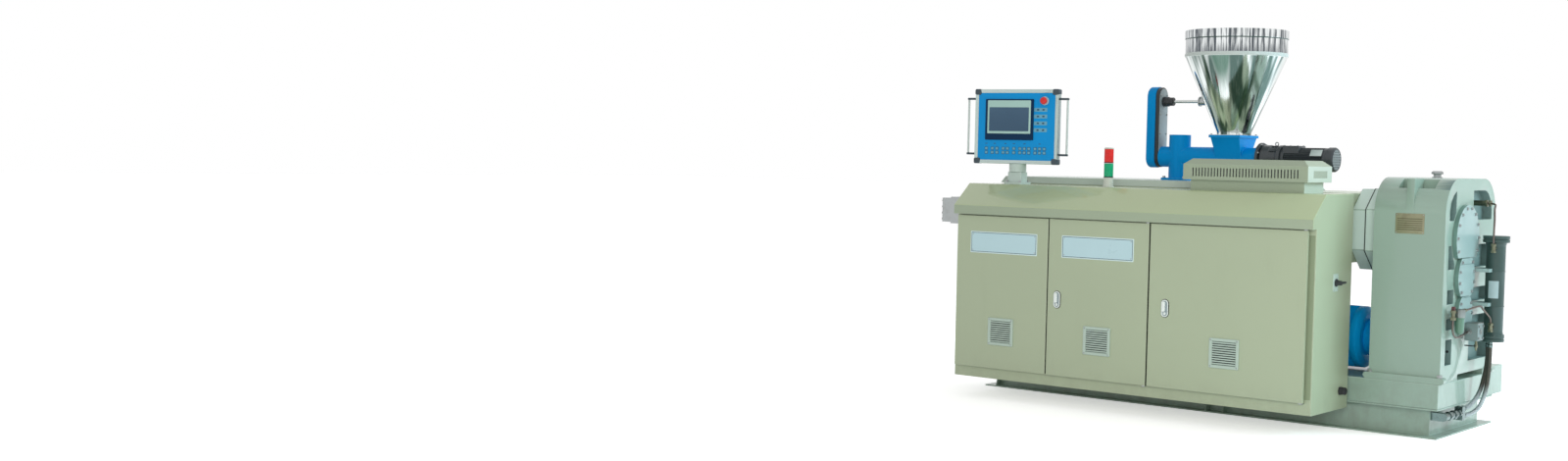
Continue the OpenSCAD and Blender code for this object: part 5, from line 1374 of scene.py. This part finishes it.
def hopper():
    """Spun hopper: one closed profile of wall, rolled rim, cone and outlet, turned round; a bead where the
    cone meets the wall in pale paint as a painted highlight, and a turn-in under the rim in dark paint as
    painted shade, both flat ellipses turned round; a boss."""
    outlet, top = low("hopper")[2], high("hopper")[2]
    rim_r, wall_r, outlet_r = 0.280, 0.276, 0.094
    thick, cone_low, band, lip = 2.0 * MM, 1.510, 44 * MM, 2.5 * MM
    put = facing_up(HOPPER_AXIS)
    outer = [(outlet, outlet_r), (cone_low, outlet_r), (CONE_TOP, wall_r), (top - band, wall_r),
             (top - band, rim_r), (top - 3 * MM, rim_r), (top, rim_r - 2 * MM)]
    inner = [(top, wall_r - thick), (CONE_TOP, wall_r - thick), (cone_low, outlet_r - thick),
             (outlet, outlet_r - thick)]
    profile = np.concatenate([eased(outer, 3 * MM, 4), eased(inner, 3 * MM, 4)])
    shell = Shell().turn(put, profile, 128, loop=True)
    turn = np.linspace(0, TAU, 9)[:-1]
    # The bead takes pale paint as a painted highlight; the ring under the rim takes dark paint as painted
    # shade.
    for level, half, finish in ((CONE_TOP + 6 * MM, 10 * MM, 1), (top - 46 * MM, 3 * MM, 2)):
        bead = np.stack([level + half * np.sin(turn), wall_r + lip * np.cos(turn)], -1)
        shell.turn(put, bead, 128, finish, loop=True)
    finishes = [HOPPER_MIRROR_PAINTED_REFLECTIONS, GRIP_STEEL, FILTER_PAINT]
    piece("hopper_spun", shell, finishes, nodes=("hopper",), crease=50)
    wall_at = outlet_r + (SHAFT_Z - cone_low) * (wall_r - outlet_r) / (CONE_TOP - cone_low)
    spot = np.array([HOPPER_AXIS[0] - wall_at - 42 * MM, HOPPER_AXIS[1], SHAFT_Z])
    collar, sleeve, step, reach = 28 * MM, 22 * MM, 8 * MM, 66 * MM
    ring = [(0, SHAFT_BORE), (0, collar), (step, collar), (step, sleeve), (reach, sleeve),
            (reach, SHAFT_BORE)]
    boss = Shell().turn(facing_right(spot), eased(ring, 1.5 * MM), 40, loop=True)
    piece("hopper_boss", boss, STEEL, nodes=("hopper",))


def feeder_castings():
    """Blue cast feeder with softened edges in a lighter blue, which is chipped wear and a painted highlight,
    and its drive guard, a long oval with a round rim.
    """
    rounded("feeder_housing", [FEEDER_BLUE, FEEDER_EDGE_WEAR_AND_HIGHLIGHT], 3.0 * MM, angle=45, edge=1)
    lo, hi = low("feeder_guard"), high("feeder_guard")
    thick, width, height = hi - lo
    outline = rounded_rectangle(width, height, width / 2 - 0.2 * MM, 14)
    put = facing_left(np.array([hi[0], *middle("feeder_guard")[1:]]))
    guard = Shell().add(put(prism(outline, thick, 12 * MM, 1 * MM, 5)))
    piece("feeder_guard_pressed", guard, FEEDER_BLUE, nodes=("feeder_guard",), crease=50)


def bearing_plate():
    """Dark oval plate with a grey face, a hub round the stirrer's shaft, and socket screws on both."""
    lo, hi = low("stirrer_bearing"), high("stirrer_bearing")
    _, width, height = hi - lo
    guard_r = (high("feeder_guard")[1] - low("feeder_guard")[1]) / 2
    thick, border, hub_back, hub_r, nose_r = 24 * MM, 14 * MM, -10 * MM, 28 * MM, 24 * MM
    put = facing_right(np.array([lo[0], FEEDER_Y, middle("stirrer_bearing")[2]]))
    outer = rounded_rectangle(width, height, guard_r - 3.4 * MM, 14)
    shell = Shell().add(put(prism(outer, thick - 3 * MM, 2 * MM, 1 * MM)))
    face = rounded_rectangle(width - border, height - border, guard_r - 10.6 * MM, 14)
    shell.add(put(prism(face, thick, 1.5 * MM)), 1)
    hub = np.array([lo[0] + thick, FEEDER_Y, SHAFT_Z])
    reach = hi[0] - hub[0]
    ring = [(hub_back, SHAFT_BORE), (hub_back, hub_r), (reach * 0.5, hub_r), (reach * 0.6, nose_r),
            (reach, nose_r), (reach, SHAFT_BORE)]
    shell.turn(facing_right(hub), eased(ring, 1.5 * MM), 40, loop=True)
    screws = ring_of(hub + X * (reach - 2 * MM), 18 * MM, 4, Y, Z, math.pi / 4)
    cap_screws(shell, facing_right(screws), 4 * MM, 2 * MM, 2)
    rows = np.array([[hub[0], FEEDER_Y + side * 36 * MM, lo[2] + share * height]
                     for side in (-1, 1) for share in (0.16, 0.42, 0.66, 0.9)])
    cap_screws(shell, facing_right(rows), 5 * MM, 4 * MM, 2)
    finishes = [BLACK_PLASTIC, PLATE_GREY, STEEL]
    piece("bearing_plate", shell, finishes, nodes=("stirrer_bearing",))
    refinish("stirrer_shaft", PLATED)


def feeder_bolts():
    """Seat plate under the hopper, and the bolts in the flanges of the feeder's neck and port."""
    neck = np.array([HOPPER_AXIS[0], FEEDER_Y, high("feeder_housing")[2] - 14 * MM])
    seat = Shell().plate(facing_up(neck + Z * 12.5 * MM), 184 * MM, 234 * MM, 4 * MM, 4 * MM, 1 * MM)
    piece("hopper_seat_plate", seat, PLATED)
    spots = neck + np.array([[a * 82, b * 107, 16] for a in (-1, 1) for b in (-1, 0, 1)]) * MM
    bolts = bolt_heads(Shell(), facing_up(spots), 10 * MM, 6 * MM)
    port = np.array([PORT_X, FEEDER_Y, high("barrel_lid")[2] + 12 * MM])
    bolt_heads(bolts, facing_up(four_corners(port, X * 62 * MM, Y * 62 * MM)), 17 * MM, 10 * MM)
    piece("feeder_bolts", bolts, STEEL)


def reducer():
    """Dark reducer: a bolted flange and a waisted body, both turned; ribs along the waist; a lifting eye,
    which is a circle carried round a circle, on a turned stem."""
    lo, hi = low("feeder_reducer"), high("feeder_reducer")
    centre_y = middle("feeder_reducer")[1]
    start = np.array([lo[0], centre_y, FEEDER_AXIS_Z])
    put = facing_right(start)
    length, radius, inner_r, flange, flange_r = hi[0] - lo[0], 74 * MM, 30 * MM, 14 * MM, 86 * MM
    waist = radius * 0.92
    disc = [(0, inner_r), (0, flange_r), (flange, flange_r), (flange, inner_r)]
    shell = Shell().turn(put, eased(disc, 2 * MM), 64)
    body = [(flange, 60 * MM), (22 * MM, radius), (length * 0.5, radius), (length * 0.56, waist),
            (length * 0.8, waist), (length * 0.86, radius), (length, radius), (length, inner_r)]
    shell.turn(put, eased(body, 4 * MM), 64)
    spots = ring_of(start + X * flange, 79.5 * MM, 8, Y, Z, math.pi / 8)
    bolt_heads(shell, facing_right(spots), 9.5 * MM, 7 * MM, 1)
    ribs = 10
    for angle in TAU * np.arange(ribs) / ribs:
        out = Y * math.cos(angle) + Z * math.sin(angle)
        spot = start + X * length * 0.68 + out * radius * 0.9
        shell.plate(place(spot, X, np.cross(out, X)), length * 0.26, 6 * MM, 2 * MM, radius * 0.1)
    eye = np.array([lo[0] + 92 * MM, centre_y, hi[2] - 12 * MM])
    eye_r, wire_r = 9 * MM, 3 * MM
    turn = np.linspace(0, TAU, 33)[:-1, None]
    around = np.cos(turn) * X + np.sin(turn) * Z
    section = (TAU * np.arange(10) / 10)[None, :, None]
    wire = np.cos(section) * around[:, None] + np.sin(section) * Y
    shell.add((eye + eye_r * around)[:, None] + wire_r * wire, 1, loop=True)
    stem = np.array([eye[0], centre_y, FEEDER_AXIS_Z + radius - 8 * MM])
    tall = eye[2] - eye_r - stem[2]
    shaft = [(0, 9 * MM), (tall * 0.7, 9 * MM), (tall, 6 * MM), (tall, 1 * MM)]
    shell.turn(facing_up(stem), eased(shaft, 1 * MM), 20, 1)
    piece("reducer_cast", shell, [DARK_PAINT, STEEL], nodes=("feeder_reducer",))


def feeder_motor():
    """Motor along X: a ribbed body, plain end shields, a fan cowl with a lattice over a dark disc of painted
    shade, a bare plate that leans back on the ribs, and a terminal box on top."""
    lo, hi = low("feeder_motor"), high("feeder_motor")
    centre_y = middle("feeder_reducer")[1]
    start = np.array([lo[0], centre_y, FEEDER_AXIS_Z])
    length, radius, cowl, cowl_r = 258 * MM, 62 * MM, 40 * MM, 66 * MM
    shield, core, mouth = length * 0.08, radius * 0.4, cowl_r * 0.82
    ring = eased([(0, core), (0, radius), (shield, radius), (shield, core)], 3 * MM)
    shell = Shell().turn(facing_right(start), ring, 64)
    body = ribbed_circle(radius, radius * 0.11, 36, 0.45, 8)
    shell.add(facing_right(start + X * shield)(prism(body, length - 2 * shield)))
    shell.turn(facing_right(start + X * (length - shield)), ring, 64)
    bell = [(0, cowl_r * 0.7), (0, cowl_r), (cowl * 0.8, cowl_r), (cowl, cowl_r * 0.9), (cowl, mouth),
            (cowl * 0.86, mouth), (cowl * 0.86, cowl_r * 0.1)]
    shell.turn(facing_right(start + X * length), eased(bell, 3 * MM), 64)
    dark = [(0, cowl_r * 0.83), (1 * MM, cowl_r * 0.83)]
    shell.turn(facing_right(start + X * (length + cowl * 0.87)), dark, 48, 1)
    bars = 8
    for offset in np.linspace(-0.86, 0.86, bars) * mouth:
        half = math.sqrt(mouth ** 2 - offset ** 2)
        for across, up in ((Y, Z), (Z, -Y)):
            spot = start + X * (length + cowl * 0.9) + up * offset
            shell.plate(place(spot, across, up), 2 * half, 4 * MM, 1 * MM, 3 * MM, 0.5 * MM, finish=3)
    lean = math.radians(34)
    out = -Y * math.cos(lean) + Z * math.sin(lean)
    up = Y * math.sin(lean) + Z * math.cos(lean)
    put = place(start + X * length * 0.79 + out * (radius - 5 * MM), X, up)
    shell.plate(put, 72 * MM, 48 * MM, 4 * MM, 6 * MM, 1 * MM)
    shell.plate(put, 64 * MM, 40 * MM, 3 * MM, 7 * MM, 0.5 * MM, finish=4)
    box_low = np.array([lo[0] + 10 * MM, centre_y - 48 * MM, FEEDER_AXIS_Z + 20 * MM])
    box_high = np.array([lo[0] + 104 * MM, centre_y + 48 * MM, hi[2]])
    centre, size = (box_low + box_high) / 2, box_high - box_low
    lid, gap, screw_in = 8 * MM, 0.5 * MM, 10 * MM
    put = facing_up(np.array([*centre[:2], box_low[2]]))
    shell.plate(put, size[0], size[1], 6 * MM, size[2] - lid, 1 * MM)
    put = facing_up(np.array([*centre[:2], box_high[2] - lid + gap]))
    shell.plate(put, size[0] - 2 * MM, size[1] - 2 * MM, 6 * MM, lid - gap, 2.5 * MM)
    top = np.array([*centre[:2], box_high[2]])
    spots = four_corners(top, X * (size[0] / 2 - screw_in), Y * (size[1] / 2 - screw_in))
    cap_screws(shell, facing_up(spots), 4 * MM, 3 * MM, 2)
    finishes = [DARK_PAINT, PAINTED_SHADE_IN_OPENINGS, STEEL, GRILLE_PAINT, ALUMINIUM]
    piece("feeder_motor_finned", shell, finishes, nodes=("feeder_motor",), crease=32)


hopper()
feeder_castings()
bearing_plate()
feeder_bolts()
reducer()
feeder_motor()


# Main motor under the barrel

MOTOR_Y, MOTOR_Z = 0.139, 0.443


def main_motor():
    """Finned motor that runs from the coupling to the left: shields, a ribbed body, a fan cowl with rings of
    painted shade on its end, four feet with gussets and bolts, and a terminal box to the back."""
    lo, hi = low("main_motor"), high("main_motor")
    radius, core, shield, cowl, foot, lid = 162 * MM, 70 * MM, 50 * MM, 100 * MM, 22 * MM, 11.5 * MM
    length = hi[0] - lo[0] - cowl
    start = np.array([hi[0], MOTOR_Y, MOTOR_Z])
    nose = [(0, core), (0, radius * 0.8), (16 * MM, radius), (shield, radius), (shield, core)]
    shell = Shell().turn(facing_left(start), eased(nose, 4 * MM), 72)
    body = ribbed_circle(radius, 16 * MM, 52, 0.45, 8)
    shell.add(facing_left(start - X * shield)(prism(body, length - 2 * shield)))
    ring = [(0, core), (0, radius), (shield, radius), (shield, core)]
    shell.turn(facing_left(start - X * (length - shield)), eased(ring, 3 * MM), 72)
    put = facing_left(start - X * length)
    cowl_r = radius - 6 * MM
    bell = [(0, radius * 0.6), (0, cowl_r), (cowl * 0.8, cowl_r), (cowl, radius * 0.84), (cowl, radius * 0.1)]
    shell.turn(put, eased(bell, 8 * MM), 72)
    back, front = cowl - 0.5 * MM, cowl + 0.6 * MM
    for share in (0.25, 0.4, 0.55, 0.7):
        inner, outer = radius * share, radius * share + 10 * MM
        shell.turn(put, [(back, inner), (front, inner), (front, outer), (back, outer)], 48, 1, loop=True)
    gusset = np.array([[-30, 0], [40, 0], [40, 120], [10, 120]]) * MM
    for side in (-1, 1):
        for along in (160 * MM, 330 * MM):
            spot = np.array([lo[0] + cowl + along, MOTOR_Y + side * 102 * MM, lo[2]])
            shell.plate(facing_up(spot), 60 * MM, 70 * MM, 8 * MM, foot, 3 * MM)
            rise = place(spot + X * 10 * MM + Z * 10 * MM, -Y * side, Z)
            shell.add(rise(prism(gusset, 20 * MM, 1 * MM)))
            bolt_heads(shell, facing_up(spot + Z * foot + Y * side * 14 * MM), 20 * MM, 12 * MM, 2)
    box_x, box_y = lo[0] + cowl + 230 * MM, MOTOR_Y + radius - 20 * MM
    put = facing_back(np.array([box_x, box_y, MOTOR_Z]))
    shell.plate(put, 180 * MM, 140 * MM, 10 * MM, hi[1] - box_y - 12 * MM, 1 * MM)
    put = facing_back(np.array([box_x, hi[1] - lid, MOTOR_Z]))
    shell.plate(put, 176 * MM, 136 * MM, 10 * MM, lid, 3 * MM)
    # The motor's blue carries painted light as well as the enamel's colour.
    finishes = [MOTOR_BLUE_PAINTED_LIGHT, PAINTED_SHADE_IN_OPENINGS, STEEL]
    piece("main_motor_finned", shell, finishes, nodes=("main_motor",), crease=32)


def coupling_guard():
    """Guard round the coupling: one turned profile with a waist, in shares of its length and radius."""
    lo, hi = low("motor_coupling"), high("motor_coupling")
    size = [hi[0] - lo[0], (hi[1] - lo[1]) / 2]
    shares = [(0, 0.3), (0, 1), (0.3, 1), (0.36, 0.9), (0.64, 0.9), (0.7, 1), (1, 1), (1, 0.3)]
    put = facing_right(np.array([lo[0], MOTOR_Y, MOTOR_Z]))
    guard = Shell().turn(put, eased(np.array(shares) * size, 3 * MM), 56)
    # The guard takes the motor's blue, which carries painted light.
    piece("coupling_guard", guard, MOTOR_BLUE_PAINTED_LIGHT, nodes=("motor_coupling",))


main_motor()
coupling_guard()


# Oil cooler on the gearbox end

FILTER_FOOT, FILTER_RINGS, LABEL_LEVELS = 0.460, (0.639, 0.817), (0.684, 0.772)
BOWL_TOP = 0.602
BLOCK_LOW, BLOCK_HIGH = np.array([1.541, 0.059, 0.476]), np.array([1.606, 0.145, 0.566])
COCK = np.array([1.594, 0.074, 0.428])
PIPE_OUTLET = (0.302, 1.165)


def oil_filter():
    """Filter: one turned profile of flanges, rings and barrel; flange bolts; hose nipples below; a bare
    label, which is a part of a ring round the barrel; and the filter's brackets."""
    lo, hi = low("oil_filter"), high("oil_filter")
    bottom, top = FILTER_FOOT, hi[2]
    barrel, head, foot = 47 * MM, (hi[0] - lo[0]) / 2, 55 * MM
    plate, gap, step, neck, groove, bead = 15 * MM, 18 * MM, 33 * MM, 52 * MM, 4 * MM, 2.5 * MM
    profile = [(bottom, 8 * MM), (bottom, foot), (bottom + plate, foot), (bottom + plate, foot - groove),
               (bottom + gap, foot - groove), (bottom + gap, foot), (bottom + step, foot),
               (bottom + step + 3 * MM, barrel + 3 * MM), (bottom + neck, barrel)]
    for level in FILTER_RINGS:
        profile += [(level, barrel), (level + 1 * MM, barrel + bead), (level + 5 * MM, barrel + bead),
                    (level + 6 * MM, barrel)]
    profile += [(top - neck, barrel), (top - step - 3 * MM, barrel + 4 * MM), (top - step, head),
                (top - gap, head), (top - gap, head - groove), (top - plate, head - groove),
                (top - plate, head), (top, head), (top, 4 * MM)]
    shell = Shell().turn(facing_up(FILTER_AXIS), eased(profile, 1.6 * MM), 64)
    for level, reach in ((bottom + step, foot - 5 * MM), (top - 5 * MM, head - 8 * MM)):
        spots = ring_of(FILTER_AXIS + Z * level, reach, 8, X, Y, math.pi / 8)
        bolt_heads(shell, facing_up(spots), 9 * MM, 5 * MM, 1, 1.1)
    nut = [(0, 11.2 * MM), (0, 13 * MM), (14 * MM, 13 * MM), (16 * MM, 11.5 * MM), (31 * MM, 11.5 * MM)]
    for hose_end in (NEAR_END, FAR_END):
        base = np.array([*hose_end[:2], HOSE_END_Z])
        shell.turn(facing_up(base), eased(nut, 0.8 * MM), 24, 1)
    piece("filter_turned", shell, [FILTER_PAINT, FITTING_STEEL], nodes=("oil_filter",))
    wide, aim = math.radians(61), math.radians(-80)
    turn = np.linspace(-wide / 2, wide / 2, 13)[:, None] + aim
    around = np.cos(turn) * X + np.sin(turn) * Y
    belt = FILTER_AXIS + np.concatenate([(barrel + 0.8 * MM) * around, (barrel - 0.5 * MM) * around[::-1]])
    label = Shell().add(np.stack([belt + Z * level for level in LABEL_LEVELS]))
    piece("filter_bare_label", label, FILTER_LABEL)
    rounded("filter_brackets", COVER_PAINT, 1.0 * MM)


def pump_bowl():
    """Bowl of the pump: a quarter circle for its domed foot, a wall and a collar, turned round."""
    radius, dome_z, collar_r = 21 * MM, 0.539, 22.5 * MM
    turn = np.linspace(-math.pi / 2, 0, 8)
    dome = np.stack([dome_z + radius * np.sin(turn), radius * np.maximum(np.cos(turn), 0.03)], -1)
    wall = [(BOWL_TOP - 8 * MM, radius), (BOWL_TOP - 7 * MM, collar_r), (BOWL_TOP, collar_r)]
    bowl = Shell().turn(facing_up(PUMP_AXIS), np.concatenate([dome, wall]), 40)
    piece("pump_bowl", bowl, BOWL_GREEN, nodes=("oil_pump",))


def pump_head():
    """Ribbed cap over the bowl with its boss, the bracket to the gearbox, and the inlet on an arm: two nuts,
    a neck and a plug."""
    arm_z, boss_z, cap_top, plug_z = 0.627, 0.637, 0.644, 0.648
    face = high("gearbox_housing")[0]
    cap = ribbed_circle(25 * MM, 1.2 * MM, 24, 1.0, 4)
    put = facing_up(PUMP_AXIS + Z * BOWL_TOP)
    head = Shell().add(put(prism(cap, cap_top - BOWL_TOP, 5 * MM, 1.5 * MM, 4)))
    boss = [(0, 8 * MM), (25 * MM, 8 * MM), (25 * MM, 10 * MM), (37 * MM, 10 * MM), (37 * MM, 2 * MM)]
    head.turn(facing_back(PUMP_AXIS + X * 12 * MM + Z * boss_z), eased(boss, 1 * MM), 24, 1)
    put = facing_right(np.array([face, PUMP_AXIS[1], arm_z]))
    head.plate(put, 24 * MM, 18 * MM, 2 * MM, PUMP_AXIS[0] - face, finish=2)
    put = facing_back(INLET_AXIS + Z * arm_z)
    head.plate(put, 16 * MM, 14 * MM, 4 * MM, PUMP_AXIS[1] - INLET_AXIS[1], finish=1)
    for level, tall, radius in ((0.590, 16 * MM, 15 * MM), (0.626, 14 * MM, 14 * MM)):
        head.hexagon(facing_up(INLET_AXIS + Z * level), radius, tall, 1.5 * MM, 1.5 * MM, finish=1)
    head.turn(facing_up(INLET_AXIS), [(0.600, 10 * MM), (0.630, 10 * MM)], 24, 1)
    put = facing_right(np.array([face, INLET_AXIS[1], plug_z]))
    head.hexagon(put, 12 * MM, 15 * MM, 1.5 * MM, finish=3)
    finishes = [GREY_STEEL, BRASS, FITTING_STEEL, PLUG_RED]
    piece("pump_head", head, finishes, nodes=("oil_pump",))


def pump_block():
    """Bolted block with a steel top plate, the pipe's port with its nut in front, a round seat on its right,
    and a drain cock with a lever below."""
    mid, size = (BLOCK_LOW + BLOCK_HIGH) / 2, BLOCK_HIGH - BLOCK_LOW
    put = facing_right(np.array([BLOCK_LOW[0], *mid[1:]]))
    block = Shell().plate(put, size[1], size[2], 5 * MM, size[0], 3 * MM)
    put = facing_up(np.array([*mid[:2], BLOCK_HIGH[2] - 4 * MM]))
    block.plate(put, size[0] + 1 * MM, size[1] + 1 * MM, 4 * MM, 5 * MM, 1 * MM, finish=1)
    bolts = np.array([[BLOCK_HIGH[0], y, z] for y in (BLOCK_LOW[1] + 13 * MM, BLOCK_HIGH[1] - 13 * MM)
                      for z in (BLOCK_LOW[2] + 13 * MM, BLOCK_HIGH[2] - 17 * MM)])
    bolt_heads(block, facing_right(bolts), 10 * MM, 6 * MM, 1)
    collar = [(-3 * MM, 6 * MM), (-3 * MM, 17 * MM), (4 * MM, 17 * MM), (4 * MM, 6 * MM)]
    block.turn(facing_front(PORT), eased(collar, 1 * MM), 32, 1)
    block.hexagon(facing_front(PORT + Y * 3 * MM), 11 * MM, 17 * MM, 1.5 * MM, finish=1)
    seat = [(0, 6 * MM), (0, 15 * MM), (4 * MM, 15 * MM), (4 * MM, 9 * MM), (2 * MM, 8 * MM)]
    put = facing_right(np.array([BLOCK_HIGH[0] - 1 * MM, *mid[1:]]))
    block.turn(put, eased(seat, 1 * MM), 32, 1)
    stem = [(0, 5 * MM), (14 * MM, 5 * MM), (14 * MM, 9 * MM), (32 * MM, 9 * MM), (32 * MM, 6 * MM),
            (50 * MM, 6 * MM)]
    block.turn(facing_up(COCK), eased(stem, 1 * MM), 24, 2)
    lever = COCK + np.array([-24, -8, 23]) * MM
    block.plate(facing_front(lever), 58 * MM, 6 * MM, 2.8 * MM, 8 * MM, 2 * MM, finish=3)
    finishes = [PUMP_PAINT, GREY_STEEL, BRASS, BLACK_PLASTIC]
    piece("pump_block", block, finishes, nodes=("oil_pump",))


def pipe_nuts():
    """Six-sided nuts with eased ends on the pipe fittings and on the base's hose outlets, where each has a
    turned sleeve."""
    refinish("oil_pipes", PIPE_STEEL)
    refinish("pipe_fittings", BRASS)
    refinish("hose_fittings", FITTING_STEEL)
    nuts = Shell()
    for top in ELBOW_TOPS:
        for drop in (12 * MM, 46 * MM):
            nuts.hexagon(facing_up(ELBOW + Z * (top - drop)), 13.5 * MM, 12 * MM, 1.5 * MM, 1.5 * MM)
    spot = np.array([high("gearbox_housing")[0] - 4 * MM, *PIPE_OUTLET])
    nuts.hexagon(facing_right(spot), 19 * MM, 14 * MM, 2 * MM, 1 * MM)
    nuts.hexagon(facing_right(spot + X * 20 * MM), 17 * MM, 12 * MM, 1.5 * MM, 1.5 * MM)
    piece("pipe_nuts", nuts, BRASS)
    sleeve = [(14 * MM, 12 * MM), (14 * MM, 15.5 * MM), (30 * MM, 15.5 * MM), (46 * MM, 13 * MM),
              (46 * MM, 11.3 * MM)]
    collars = Shell()
    for start in (NEAR_START, FAR_START):
        put = place(start - Y * 29 * MM, Z, X)
        collars.hexagon(put, 18 * MM, 13 * MM, 1.5 * MM, 1.5 * MM)
        collars.turn(put, eased(sleeve, 1 * MM), 28)
    piece("hose_nuts", collars, FITTING_STEEL)


oil_filter()
pump_bowl()
pump_head()
pump_block()
pipe_nuts()


# Die and barrel end


def die_and_barrel():
    """Die plates with rounded edges, and screws along the front one's rim; the barrel end in worn steel."""
    rounded("die_plates", STEEL, 2.0 * MM)
    refinish("barrel_end", WORN_STEEL)
    lo, hi = low("die_plates"), high("die_plates")
    centre = middle("die_plates")
    _, half_y, half_z = (hi - lo) / 2 - 26 * MM
    shares = (-1, -0.34, 0.34, 1)
    spots = np.array([[lo[0], centre[1] + a * half_y, centre[2] + b * half_z]
                      for a in shares for b in shares if max(abs(a), abs(b)) > 0.9])
    screws = cap_screws(Shell(), facing_left(spots), 9 * MM, 9 * MM)
    piece("die_screws", screws, WORN_STEEL)


die_and_barrel()


# Floor, lights and background

SKY = 0.5
WHITE, BLACK = (1.0, 1.0, 1.0, 1.0), (0.0, 0.0, 0.0, 1.0)
FLOOR_HALF = 60.0
FLOOR_TONES = (0.93, 0.93, 0.93, 1.0), (0.95, 0.95, 0.95, 1.0)
FLOOR_GLOW = (0.5, 0.5, 0.5, 1.0)
SEEN_RAYS = ("Is Camera Ray", "Is Glossy Ray", "Is Transmission Ray")
LAMPS = (
    ("right_lamp", (7.5, 3.2, 4.2), (1.3, 0.1, 0.9), 4.0, 520.0, (0.63, 0.88, 1.0)),
    ("front_lamp", (4.5, -8.0, 2.6), (0.6, 0.0, 0.8), 3.5, 290.0, (1.0, 0.99, 0.96)),
    ("back_lamp", (0.5, 4.5, 5.5), (0.2, 0.0, 1.2), 4.0, 170.0, (1.0, 1.0, 1.0)),
)


def studio_floor():
    """Level white floor, which glows where the camera or a reflection sees it, so that it looks white."""
    corners = [(a * FLOOR_HALF, b * FLOOR_HALF, 0.0) for a, b in ((-1, -1), (1, -1), (1, 1), (-1, 1))]
    mesh = bpy.data.meshes.new("studio_floor")
    mesh.from_pydata(corners, [], [(0, 1, 2, 3)])
    floor = bpy.data.objects.new("studio_floor", mesh)
    bpy.context.scene.collection.objects.link(floor)
    white = Finish("studio_floor_white")
    white.set(Base_Color=white.blend(white.noise(0.5, 2.0), *FLOOR_TONES), Roughness=0.9)
    camera_ray, glossy_ray, through_ray = [white.node("LightPath", {}, {}, ray) for ray in SEEN_RAYS]
    seen = camera_ray.most(glossy_ray).most(through_ray)
    white.set(Emission_Color=white.blend(seen, BLACK, FLOOR_GLOW), Emission_Strength=1.0)
    mesh.materials.append(white.material)


def surround():
    """Even pale sky for light, which is white where the camera or a reflection sees it."""
    world = bpy.data.worlds.new("studio_world")
    bpy.context.scene.world = world
    world.use_nodes = True
    tree = world.node_tree
    tree.nodes.clear()
    path = tree.nodes.new("ShaderNodeLightPath")
    seen = path.outputs[SEEN_RAYS[0]]
    for ray in SEEN_RAYS[1:]:
        either = tree.nodes.new("ShaderNodeMath")
        either.operation = "MAXIMUM"
        tree.links.new(seen, either.inputs[0])
        tree.links.new(path.outputs[ray], either.inputs[1])
        seen = either.outputs[0]
    mix = tree.nodes.new("ShaderNodeMixShader")
    tree.links.new(seen, mix.inputs[0])
    for socket, strength in ((1, SKY), (2, 1.0)):
        light = tree.nodes.new("ShaderNodeBackground")
        light.inputs["Color"].default_value = WHITE
        light.inputs["Strength"].default_value = strength
        tree.links.new(light.outputs[0], mix.inputs[socket])
    end = tree.nodes.new("ShaderNodeOutputWorld")
    tree.links.new(mix.outputs[0], end.inputs[0])


def soft_lamp(name, spot, aim, size, power, tint):
    """Large square lamp at a spot, which faces the point that it is aimed at."""
    data = bpy.data.lights.new(name, "AREA")
    data.shape = "SQUARE"
    data.size = size
    data.energy = power
    data.color = tint
    lamp = bpy.data.objects.new(name, data)
    lamp.visible_glossy = False
    bpy.context.scene.collection.objects.link(lamp)
    back = np.array(spot) - np.array(aim)
    back = back / np.linalg.norm(back)
    across = np.cross(Z, back)
    across = across / np.linalg.norm(across)
    lamp.matrix_world = stand(across, np.cross(back, across), back, spot)


studio_floor()
surround()
for lamp_values in LAMPS:
    soft_lamp(*lamp_values)
bpy.context.scene.view_settings.view_transform = "Standard"
